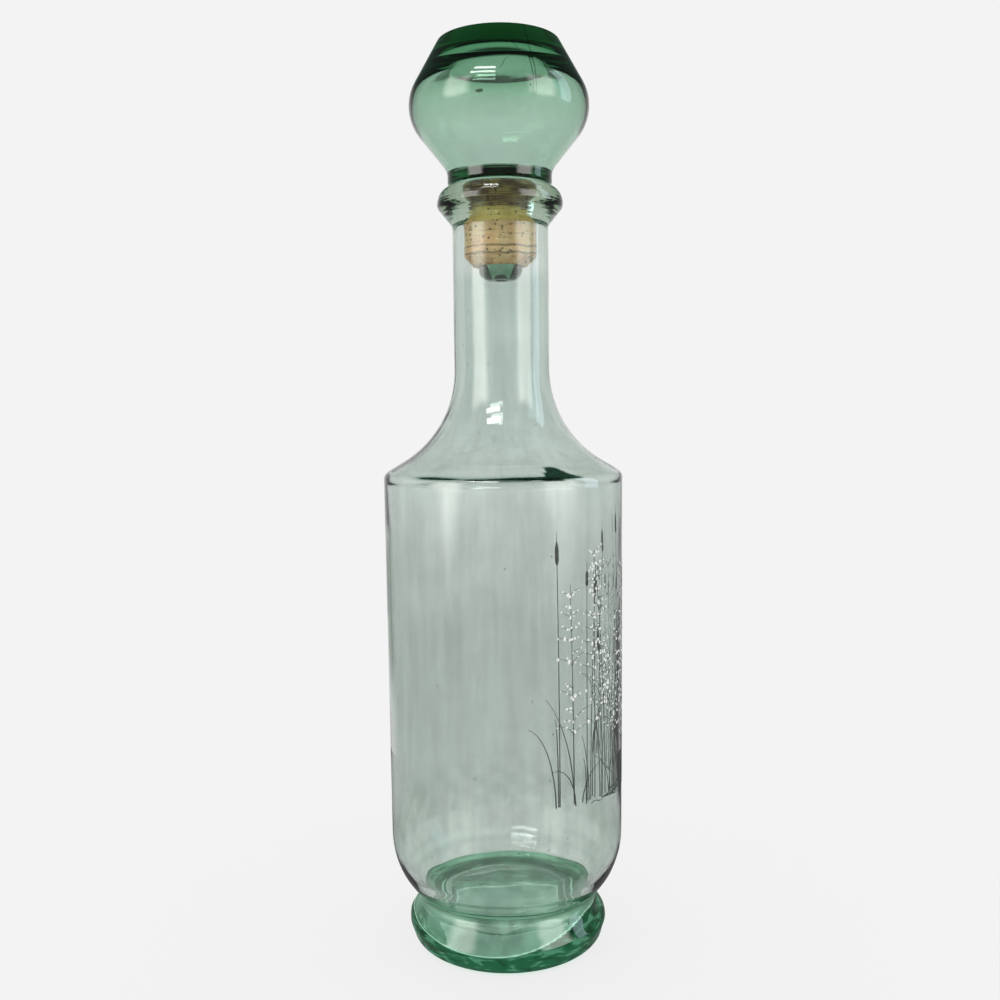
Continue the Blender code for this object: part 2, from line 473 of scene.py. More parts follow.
@dataclass(frozen=True)
class CorkFinish:
    """Natural cork: warm grain, dark pores and burnt rings, with a painted lit band and painted shade at its
    top end.
    """

    name: str
    ring_levels: tuple[float, ...]
    light: Colour = (1.0, 0.75, 0.38)
    dark: Colour = (0.95, 0.60, 0.27)
    grain_scale: float = 260.0
    grain_stretch: Scale = (1.0, 1.0, 0.45)
    grain_fade: Span = (0.38, 0.62)
    layer_scale: float = 420.0
    layer_stretch: Scale = (0.25, 0.25, 3.0)
    layer_fade: Span = (0.54, 0.68)
    layer_share: float = 0.45
    # Painted light: a lighter yellow band where the cork is lit. Painted shade: the top end under the collar,
    # darker in layers.
    painted_lit_band: Colour = (1.0, 0.80, 0.24)
    lit_band_from: float = 0.2575
    lit_band_blur: float = 0.001
    lit_band_share: float = 0.7
    painted_collar_shade: Colour = (0.17, 0.065, 0.03)
    collar_shade_from: float = 0.2630
    collar_shade_blur: float = 0.0008
    collar_shade_layers: Span = (0.66, 0.40)
    collar_shade_gain: Span = (0.5, 0.5)
    edge_wobble: float = 0.0022
    pore: Colour = (0.10, 0.045, 0.02)
    pore_scale: float = 620.0
    pore_size: Span = (0.34, 0.14)
    pore_clouds: Span = (0.42, 0.52)
    pore_share: float = 0.9
    ring: Colour = (0.20, 0.10, 0.04)
    ring_half_width: float = 0.0005
    ring_wobble: float = 0.0016
    ring_share: float = 0.7
    relief_strength: float = 0.6
    relief_depth: float = 0.0004
    pore_relief: float = 0.8
    ring_relief: float = 0.3
    roughness: float = 0.62
    grain_roughness: float = 0.3
    ior: float = 1.45

    def material(self) -> bpy.types.Material:
        """Build the cork material.

        Returns:
            The material.
        """
        material, wiring = new_material(self.name)
        place = wiring.place()
        level = wiring.parts(place)[2]
        grain = wiring.noise(wiring.scaled(place, self.grain_stretch), self.grain_scale, 5.0)
        layers = wiring.noise(wiring.scaled(place, self.layer_stretch), self.layer_scale, 4.0)
        colour = wiring.blend(grain.fade(*self.grain_fade), self.dark, self.light)
        colour = wiring.blend(layers.fade(*self.layer_fade) * self.layer_share, colour, self.ring)
        edge = level + (grain - 0.5) * self.edge_wobble
        # Painted light, then painted shade, by height with wobbly edges.
        lit_band = edge.fade(self.lit_band_from, self.lit_band_from + self.lit_band_blur)
        colour = wiring.blend(lit_band * self.lit_band_share, colour, self.painted_lit_band)
        collar_shade = edge.fade(self.collar_shade_from, self.collar_shade_from + self.collar_shade_blur)
        patchy_shade = layers.fade(*self.collar_shade_layers) * self.collar_shade_gain[0] + self.collar_shade_gain[1]
        colour = wiring.blend(collar_shade * patchy_shade, colour, self.painted_collar_shade)
        holes = wiring.specks(place, self.pore_scale).fade(*self.pore_size)
        pores = holes * wiring.noise(place, self.pore_scale, 3.0).fade(*self.pore_clouds)
        colour = wiring.blend(pores * self.pore_share, colour, self.pore)
        height = level + (grain - 0.5) * self.ring_wobble
        rings: Value = 0.0
        for ring_level in self.ring_levels:
            off = (height - ring_level).absolute()
            rings = off.fade(self.ring_half_width, self.ring_half_width / 3) + rings
        colour = wiring.blend(rings.at_most(1.0) * self.ring_share, colour, self.ring)
        relief = grain - pores * self.pore_relief - rings * self.ring_relief
        wiring.surface(
            {
                "Base Color": colour,
                "Roughness": self.roughness + grain * self.grain_roughness,
                "IOR": self.ior,
                "Normal": wiring.bump(relief, self.relief_strength, self.relief_depth),
            }
        )
        return material


@dataclass(frozen=True)
class EnamelFinish:
    """Fired enamel: opaque, a little uneven in tone and slightly glossy."""

    name: str
    colour: Colour
    worn: Colour
    wear_scale: float = 420.0
    wear_fade: Span = (0.40, 0.64)
    roughness: float = 0.42
    wear_roughness: float = 0.2
    relief_strength: float = 0.3
    relief_depth: float = 0.0001

    def material(self) -> bpy.types.Material:
        """Build the enamel material.

        Returns:
            The material.
        """
        material, wiring = new_material(self.name)
        wear = wiring.noise(wiring.place(), self.wear_scale, 3.0)
        wiring.surface(
            {
                "Base Color": wiring.blend(wear.fade(*self.wear_fade), self.colour, self.worn),
                "Roughness": self.roughness + wear * self.wear_roughness,
                "Normal": wiring.bump(wear, self.relief_strength, self.relief_depth),
            }
        )
        return material


# Turned outlines


def rounded(corners: Sequence[Corner], arc_step: float, longest: float) -> list[Vector]:
    """Outline through corners, each rounded by a tangent arc, with long sides divided.

    Args:
        corners: (radius, height, rounding) of each corner, in order.
        arc_step: widest turn between two points of an arc, in radians.
        longest: longest side left undivided, in metres.

    Returns:
        The outline's points as (radius, height).
    """
    places = [Vector((radius, height)) for radius, height, _ in corners]
    last = len(corners) - 1
    turns = [0.0] * len(corners)
    tangents = [0.0] * len(corners)
    for i in range(1, last):
        turns[i] = (places[i] - places[i - 1]).angle(places[i + 1] - places[i])
        tangents[i] = corners[i][2] * math.tan(turns[i] / 2)
    fits = [1.0] * len(corners)
    for i in range(last):
        needed = tangents[i] + tangents[i + 1]
        allowed = TANGENT_SHARE * (places[i + 1] - places[i]).length
        if needed > allowed:
            fits[i] = min(fits[i], allowed / needed)
            fits[i + 1] = min(fits[i + 1], allowed / needed)
    points = [places[0]]
    for i in range(1, last):
        tangent = tangents[i] * fits[i]
        if tangent == 0:
            points.append(places[i])
            continue
        radius = tangent / math.tan(turns[i] / 2)
        start = places[i] + (places[i - 1] - places[i]).normalized() * tangent
        end = places[i] + (places[i + 1] - places[i]).normalized() * tangent
        centre = places[i] + ((start + end) / 2 - places[i]).normalized() * math.hypot(radius, tangent)
        first, final = start - centre, end - centre
        side = math.copysign(1.0, first.x * final.y - first.y * final.x)
        count = max(2, math.ceil(turns[i] / arc_step), math.ceil(turns[i] * radius / longest))
        for step in range(count + 1):
            angle = side * turns[i] * step / count
            cos, sin = math.cos(angle), math.sin(angle)
            points.append(centre + Vector((first.x * cos - first.y * sin, first.x * sin + first.y * cos)))
    points.append(places[last])
    divided = [points[0]]
    for point in points[1:]:
        gap = (point - divided[-1]).length
        if gap < SAME_PLACE:
            continue
        pieces = math.ceil(gap / longest)
        start = divided[-1]
        divided.extend(start.lerp(point, step / pieces) for step in range(1, pieces + 1))
    return divided


def refined(points: Sequence[Vector], low: float, high: float, beyond: float, step: float) -> list[Vector]:
    """Divide the sides of an outline's outer part between two heights.

    Args:
        points: the outline.
        low: lowest height that is divided.
        high: highest height that is divided.
        beyond: smallest radius that is divided.
        step: longest side there.

    Returns:
        The outline with the extra points.
    """
    result = [points[0]]
    for start, end in zip(points, points[1:]):
        gap = (end - start).length
        inner = low < start.y < high and low < end.y < high and min(start.x, end.x) > beyond
        pieces = max(1, math.ceil(gap / step)) if inner else 1
        result.extend(start.lerp(end, i / pieces) for i in range(1, pieces + 1))
    return result


def linked(name: str, data: bpy.types.ID) -> bpy.types.Object:
    """Make an object at the origin and put it in the scene.

    Args:
        name: the object's name.
        data: its mesh or camera.

    Returns:
        The object.
    """
    thing = bpy.data.objects.new(name, data)
    bpy.context.scene.collection.objects.link(thing)
    return thing


def new_tree(name: str, start: str, inputs: dict[str, str]) -> tuple[Wiring, dict[str, Wire]]:
    """Make an empty Geometry Nodes tree with named inputs and one output.

    Args:
        name: the tree's name.
        start: name of the mesh input that comes first.
        inputs: kind of each further input, by its name.

    Returns:
        The tree's wiring, and its inputs by name.
    """
    tree = bpy.data.node_groups.new(name, "GeometryNodeTree")
    kinds = {start: "Geometry", **inputs}
    for title, kind in kinds.items():
        tree.interface.new_socket(title, in_out="INPUT", socket_type=f"NodeSocket{kind}")
    tree.interface.new_socket("Finished", in_out="OUTPUT", socket_type="NodeSocketGeometry")
    wiring = Wiring(tree)
    given = wiring.node("NodeGroupInput").socket.node.outputs
    return wiring, {title: Wire(wiring, given[title]) for title in kinds}


def end_tree(wiring: Wiring, shape: Wire, finish: Wire) -> None:
    """End a tree in Realize Instances and Set Material.

    Args:
        wiring: the tree's wiring.
        shape: the geometry.
        finish: the material.
    """
    real = wiring.node("GeometryNodeRealizeInstances", {}, {0: shape})
    dressed = wiring.node("GeometryNodeSetMaterial", {}, {"Geometry": real, "Material": finish})
    wiring.node("NodeGroupOutput", {}, {0: dressed})


class TurningTree:
    """Geometry Nodes tree that turns an outline about the upright axis."""

    hub = 0.1

    def __init__(self) -> None:
        """Build the tree with its named inputs."""
        inputs = {"Steps": "Int", "Hub radius": "Float", "Weld distance": "Float", "Finish": "Material"}
        wiring, given = new_tree("turning", "Outline", inputs)
        self.tree = wiring.tree
        profile = wiring.node("GeometryNodeMeshToCurve", {}, {0: given["Outline"]})
        sockets = {"Resolution": given["Steps"], "Radius": given["Hub radius"]}
        circle = wiring.node("GeometryNodeCurvePrimitiveCircle", {}, sockets)
        upright = wiring.node("GeometryNodeSetCurveNormal", {"mode": "Z_UP"}, {0: circle})
        swept = wiring.node("GeometryNodeCurveToMesh", {}, {"Curve": upright, "Profile Curve": profile})
        sockets = {"Geometry": swept, "Distance": given["Weld distance"]}
        welded = wiring.node("GeometryNodeMergeByDistance", {}, sockets)
        end_tree(wiring, welded, given["Finish"])

    def turn(
        self, name: str, outline: Sequence[Vector], closed: bool, steps: int, material: bpy.types.Material
    ) -> bpy.types.Object:
        """Turn an outline into a closed plain mesh.

        Args:
            name: the piece's name.
            outline: (radius, height) points.
            closed: whether the last point joins the first.
            steps: facets round the axis.
            material: the finish it gets.

        Returns:
            The finished object, at the origin.
        """
        count = len(outline)
        edges = [(i, i + 1) for i in range(count - 1)] + ([(count - 1, 0)] if closed else [])
        flat = bpy.data.meshes.new(f"{name}_outline")
        flat.from_pydata([(point.x - self.hub, -point.y, 0.0) for point in outline], edges, [])
        values = {"Steps": steps, "Hub radius": self.hub, "Weld distance": SAME_PLACE, "Finish": material}
        return grown(name, flat, self.tree, values)


def grown(
    name: str, start: bpy.types.Mesh, tree: bpy.types.NodeTree, values: dict[str, Any]
) -> bpy.types.Object:
    """Run a Geometry Nodes tree once and keep its result as a plain mesh.

    Args:
        name: the name of the finished piece.
        start: the mesh that the tree begins with.
        tree: the tree.
        values: the modifier's inputs, by name.

    Returns:
        A new object at the origin with the result as its mesh.
    """
    holder = linked(f"{name}_start", start)
    modifier = holder.modifiers.new("grow", "NODES")
    modifier.node_group = tree
    for item in tree.interface.items_tree:
        if item.in_out == "INPUT" and item.name in values:
            modifier[item.identifier] = values[item.name]
    graph = bpy.context.evaluated_depsgraph_get()
    mesh = bpy.data.meshes.new_from_object(holder.evaluated_get(graph), depsgraph=graph)
    holder.modifiers.remove(modifier)
    bpy.data.objects.remove(holder, do_unlink=True)
    shape = bmesh.new()
    shape.from_mesh(mesh)
    bmesh.ops.recalc_face_normals(shape, faces=shape.faces)
    shape.to_mesh(mesh)
    shape.free()
    mesh.name = name
    mesh.shade_smooth()
    return linked(name, mesh)


@dataclass(frozen=True)
class Ripple:
    """Smooth unevenness of worked glass: a sum of waves round and along the axis."""

    seed: int
    depth: float
    round_waves: tuple[int, int]
    rise_waves: tuple[float, float]
    count: int = 14

    def at(self, angle: np.ndarray, level: np.ndarray) -> np.ndarray:
        """Offset at points of the surface.

        Args:
            angle: angle round the axis, in radians.
            level: height, in metres.

        Returns:
            Offsets between about -depth and depth, in metres.
        """
        dice = np.random.RandomState(self.seed)
        total = np.zeros_like(angle)
        for _ in range(self.count):
            turns = dice.randint(self.round_waves[0], self.round_waves[1] + 1)
            rise = dice.uniform(*self.rise_waves) * dice.choice((-1.0, 1.0))
            start = dice.uniform(0.0, 2 * math.pi)
            total += np.cos(turns * angle + rise * level * 2 * math.pi + start)
        return self.depth * total / math.sqrt(self.count / 2)


@dataclass(frozen=True)
class Fade:
    """Smooth step from 0 at start to 1 at end, which may lie below start."""

    start: float
    end: float

    def at(self, values: np.ndarray) -> np.ndarray:
        """The step's value at each of the given values."""
        share = np.clip((values - self.start) / (self.end - self.start), 0.0, 1.0)
        return share * share * (3 - 2 * share)


@dataclass(frozen=True)
class Bell:
    """Soft hump round a middle value."""

    middle: float
    half_width: float
    strength: float = 1.0

    def at(self, values: np.ndarray) -> np.ndarray:
        """The hump's height at each of the given values."""
        return np.exp(-(((values - self.middle) / self.half_width) ** 2)) * self.strength


class Shell:
    """Points of a turned mesh and where they lie about the axis.

    The level is a view of the places, so it follows the points as they rise. The radius and the angle
    stay those of the turned shape.
    """

    def __init__(self, mesh: bpy.types.Mesh) -> None:
        """Read the points.

        Args:
            mesh: the turned mesh.
        """
        self.mesh = mesh
        places = np.empty(len(mesh.vertices) * 3)
        mesh.vertices.foreach_get("co", places)
        self.places = places.reshape(-1, 3)
        self.level = self.places[:, 2]
        self.radius = np.hypot(self.places[:, 0], self.places[:, 1])
        self.angle = np.arctan2(self.places[:, 1], self.places[:, 0])

    def widen(self, moved: np.ndarray) -> None:
        """Move the points away from the axis.

        Args:
            moved: how far, for each point.
        """
        share = (self.radius + moved) / np.maximum(self.radius, NEAR_AXIS)
        self.places[:, 0] *= share
        self.places[:, 1] *= share

    def keep(self) -> None:
        """Give the mesh its new places."""
        self.mesh.vertices.foreach_set("co", self.places.ravel())
        self.mesh.update()


def mark(mesh: bpy.types.Mesh, title: str, values: np.ndarray) -> None:
    """Keep a number for each point under a title that a finish reads."""
    mesh.attributes.new(title, "FLOAT", "POINT").data.foreach_set("value", values)


# Pieces


@dataclass
class Fit:
    """Sizes that the bottle, the cork and the stopper share."""

    gap: float = 0.3 * MM
    bore_radius: float = 13.0 * MM
    lip_level: float = 270.81 * MM

    @property
    def base_level(self) -> float:
        """Underside of the stopper's base."""
        return self.lip_level + self.gap


@dataclass
class Turned:
    """A piece that is turned from an outline and then worked by hand."""

    fit: Fit
    finish: GlassFinish | CorkFinish

    name = ""
    closed = False
    steps = 200

    def outline(self) -> list[Vector]:
        """Outline that the piece is turned from."""
        raise NotImplementedError

    def work(self, mesh: bpy.types.Mesh) -> None:
        """Give the turned surface its unevenness and its marks."""
        raise NotImplementedError

    def build(self, turning: TurningTree) -> bpy.types.Object:
        """Make and dress the piece.

        Args:
            turning: the tree that turns outlines.

        Returns:
            The piece's object.
        """
        material = self.finish.material()
        piece = turning.turn(self.name, self.outline(), self.closed, self.steps, material)
        self.work(piece.data)
        return piece


@dataclass
class Zones:
    """Where each point of the bottle lies, after the bottle is worked."""

    inside: np.ndarray
    outside: np.ndarray
    level: np.ndarray
    radius: np.ndarray
    angle: np.ndarray
    place_x: np.ndarray
    front: np.ndarray
    back: np.ndarray
    pool: np.ndarray
    over_crease: np.ndarray
    over_waist: np.ndarray
    over_floor: np.ndarray
    over_shoulder: np.ndarray

    @property
    def aside(self) -> np.ndarray:
        """Share of the radius that a point lies to the left or right."""
        return np.abs(self.place_x) / np.maximum(self.radius, NEAR_AXIS)

    def split(self, outside: np.ndarray, inside: np.ndarray) -> np.ndarray:
        """One value outside, another inside, and none underneath."""
        return np.where(self.outside, outside, np.where(self.inside, inside, 0.0))


@dataclass(frozen=True)
class PaintedFootLight:
    """Painted light in the foot and the heel, with the rim's painted shade: a dark rim, veils, arcs and a
    soft glow.
    """

    rim: Fade = Fade(0.5 * MM, -0.5 * MM)
    pool_thick_painted: float = 0.10
    ends: Fade = Fade(2.0 * MM, -2.0 * MM)
    ends_painted_veil: float = 0.3
    corner: Bell = Bell(math.radians(62.0), math.radians(16.0))
    ring: Fade = Fade(17 * MM, 21 * MM)
    ring_corner_loss: float = 0.85
    pool_painted_veil: float = 0.2
    pool_painted_haze: float = 0.6
    pool_corner_loss: float = 0.6
    girdle_top: Fade = Fade(1.4 * MM, -0.4 * MM)
    girdle_front_rise: float = 3.0 * MM
    girdle_foot: Fade = Fade(-0.2 * MM, 0.7 * MM)
    girdle_deep: Fade = Fade(1.0 * MM, 5.0 * MM)
    girdle_deep_share: float = 0.3
    girdle_painted_haze: float = 0.95
    high_arc: Bell = Bell(35.5 * MM, 1.0 * MM, 0.6)
    low_arc: Bell = Bell(25.0 * MM, 1.3 * MM, 0.8)
    low_arc_side: Fade = Fade(8 * MM, -12 * MM)
    floor_arc: Bell = Bell(27.6 * MM, 2.0 * MM, 0.75)
    floor_arc_top: float = 24.0 * MM
    floor_arc_corner_loss: float = 0.9
    lit: Fade = Fade(1.0 * MM, 6.0 * MM)
    lit_painted_veil: float = 0.25
    lip_light: Bell = Bell(1.4 * MM, 1.6 * MM, 0.9)

    def corners(self, angle: np.ndarray) -> np.ndarray:
        """Share of the two corners that stand behind the middle, left and right."""
        return self.corner.at(np.abs(angle - math.radians(90.0)))

    def arcs(self, zones: Zones, corner: np.ndarray) -> np.ndarray:
        """Painted arcs of highlight on the back of the heel.

        Args:
            zones: where the points lie.
            corner: share of the corners.

        Returns:
            The painted light of the arcs.
        """
        patchy = 0.5 + 0.5 * np.sin(3.0 * zones.angle + 0.6) * np.sin(7.0 * zones.angle + 2.0)
        arcs = self.high_arc.at(zones.level) * patchy
        arcs += self.low_arc.at(zones.level) * self.low_arc_side.at(zones.place_x)
        low = (1.0 - self.floor_arc_corner_loss * corner) * (zones.level < self.floor_arc_top)
        return (arcs + self.floor_arc.at(zones.radius) * low) * zones.back

    def put(self, mesh: bpy.types.Mesh, zones: Zones) -> None:
        """Keep the numbers of the painted light, and of the rim's painted shade, on the points.

        Args:
            mesh: the bottle's mesh.
            zones: where its points lie.
        """
        rim = self.rim.at(zones.over_crease)
        # The rim mark: the rim painted dark as shade and lit with painted patches, and a little of it in the
        # pool.
        mark(mesh, "thick", zones.split(rim, self.pool_thick_painted * zones.pool))
        corner = self.corners(zones.angle)
        ring = self.ring.at(zones.radius) * zones.pool * (1.0 - self.ring_corner_loss * corner)
        girdle = self.girdle_top.at(zones.over_waist - self.girdle_front_rise * zones.front)
        girdle *= self.girdle_foot.at(zones.over_crease)
        girdle *= 1.0 - self.girdle_deep_share * (1.0 - self.girdle_deep.at(zones.over_crease))
        veil = self.ends_painted_veil * zones.aside**3 * self.ends.at(zones.over_waist) * (1.0 - rim)
        veil += self.lip_light.at(zones.over_waist) * zones.front
        veil += self.lit_painted_veil * zones.front * self.lit.at(zones.over_crease) * girdle
        mark(mesh, "veil", zones.split(veil, self.pool_painted_veil * (ring + zones.pool) + self.arcs(zones, corner)))
        pool_painted_haze = self.pool_painted_haze * zones.pool * (1.0 - self.pool_corner_loss * corner)
        mark(mesh, "haze", zones.split(self.girdle_painted_haze * girdle, pool_painted_haze))


@dataclass(frozen=True)
class PaintedShade:
    """Painted shade in the bottle's glass: at the shoulder, the sides, the heel and behind the pool.

    The girth is in degrees, 0 in front and 90 on the right.
    """

    line: Bell = Bell(0.3 * MM, 0.65 * MM)
    line_all_round: float = 0.2
    line_left: Fade = Fade(-54.0, -30.0)
    line_right: Fade = Fade(41.0, 37.0)
    line_swell: float = 0.4
    line_swell_girth: float = 9.0
    tip_height: float = 3.9 * MM
    tip_right: Fade = Fade(39.0, 25.0)
    tip_left: Fade = Fade(17.0, 22.0)
    wedge_top: Fade = Fade(0.3 * MM, -0.5 * MM)
    wedge_foot: Fade = Fade(-0.4 * MM, 0.2 * MM)
    heel_top: Fade = Fade(58 * MM, 44 * MM)
    flank_side: Fade = Fade(0.45, 0.85)
    flank_foot: Fade = Fade(19 * MM, 27 * MM)
    flank_share: float = 0.2
    shade_patches: Ripple = Ripple(17, 1.4, (4, 26), (30.0, 120.0), 16)
    shade_patch_most: float = 0.8
    shade_patch_foot: Fade = Fade(24 * MM, 30 * MM)
    shade_patch_share: float = 0.24
    heel_line: Bell = Bell(5.7 * MM, 1.1 * MM)
    heel_line_all_round: float = 0.15
    heel_line_front: float = 0.6
    right_edge: Bell = Bell(73.0, 6.0, 0.45)
    right_edge_foot: Fade = Fade(60 * MM, 90 * MM)
    right_edge_top: Fade = Fade(1 * MM, -1 * MM)
    left_edge: Bell = Bell(-74.5, 4.5, 0.86)
    left_edge_foot: Fade = Fade(84 * MM, 108 * MM)
    left_edge_top: Fade = Fade(158 * MM, 146 * MM)
    pool_edge: Bell = Bell(22.5 * MM, 2.6 * MM)
    pool_edge_top: Fade = Fade(6 * MM, 3 * MM)
    pool_edge_all_round: float = 0.35
    pool_edge_corner: float = 0.5
    darkest: float = 0.985

    def shoulder(self, zones: Zones, girth: np.ndarray) -> np.ndarray:
        """Painted shade: a line round the shoulder with a wedge that stands on it.

        Args:
            zones: where the points lie.
            girth: their turn about the axis.

        Returns:
            The shade.
        """
        reach = self.line_left.at(girth) * self.line_right.at(girth)
        swell = 1.0 + self.line_swell * np.sin(girth / self.line_swell_girth)
        line = self.line.at(zones.over_shoulder) * (self.line_all_round + swell * reach)
        tip = self.tip_height * self.tip_right.at(girth) * self.tip_left.at(girth)
        wedge = self.wedge_top.at(zones.over_shoulder - tip) * self.wedge_foot.at(zones.over_shoulder)
        return line + wedge * (tip > 0)

    def heel(self, zones: Zones) -> np.ndarray:
        """Painted shade on the outside of the heel: darker flanks, dark patches and a line.

        Args:
            zones: where the points lie.

        Returns:
            The shade.
        """
        low = self.heel_top.at(zones.level)
        flank = self.flank_side.at(zones.aside) * low * self.flank_foot.at(zones.level)
        shade_patch = np.clip(self.shade_patches.at(zones.angle, zones.level), 0.0, self.shade_patch_most)
        shade_patch *= low * self.shade_patch_foot.at(zones.level) * self.shade_patch_share
        line = self.heel_line.at(zones.over_waist)
        line *= self.heel_line_all_round + self.heel_line_front * zones.front
        return self.flank_share * flank + shade_patch + line

    def edges(self, zones: Zones, girth: np.ndarray) -> np.ndarray:
        """Painted dark lines up the right and the left side of the body.

        Args:
            zones: where the points lie.
            girth: their turn about the axis.

        Returns:
            The shade.
        """
        right = self.right_edge.at(girth) * self.right_edge_foot.at(zones.level)
        left = self.left_edge.at(girth) * self.left_edge_foot.at(zones.level)
        return right * self.right_edge_top.at(zones.over_shoulder) + left * self.left_edge_top.at(zones.level)

    def put(self, mesh: bpy.types.Mesh, zones: Zones, corner: np.ndarray) -> None:
        """Keep the painted shade's number on the points.

        Args:
            mesh: the bottle's mesh.
            zones: where its points lie.
            corner: share of the two corners behind the middle.
        """
        girth = np.degrees(zones.angle) + 90.0
        outer = self.shoulder(zones, girth) + self.heel(zones) + self.edges(zones, girth)
        inner = self.pool_edge.at(zones.radius) * self.pool_edge_top.at(zones.over_floor) * zones.back
        inner *= self.pool_edge_all_round + self.pool_edge_corner * corner
        mark(mesh, "shade", np.clip(zones.split(outer, inner), 0.0, self.darkest))


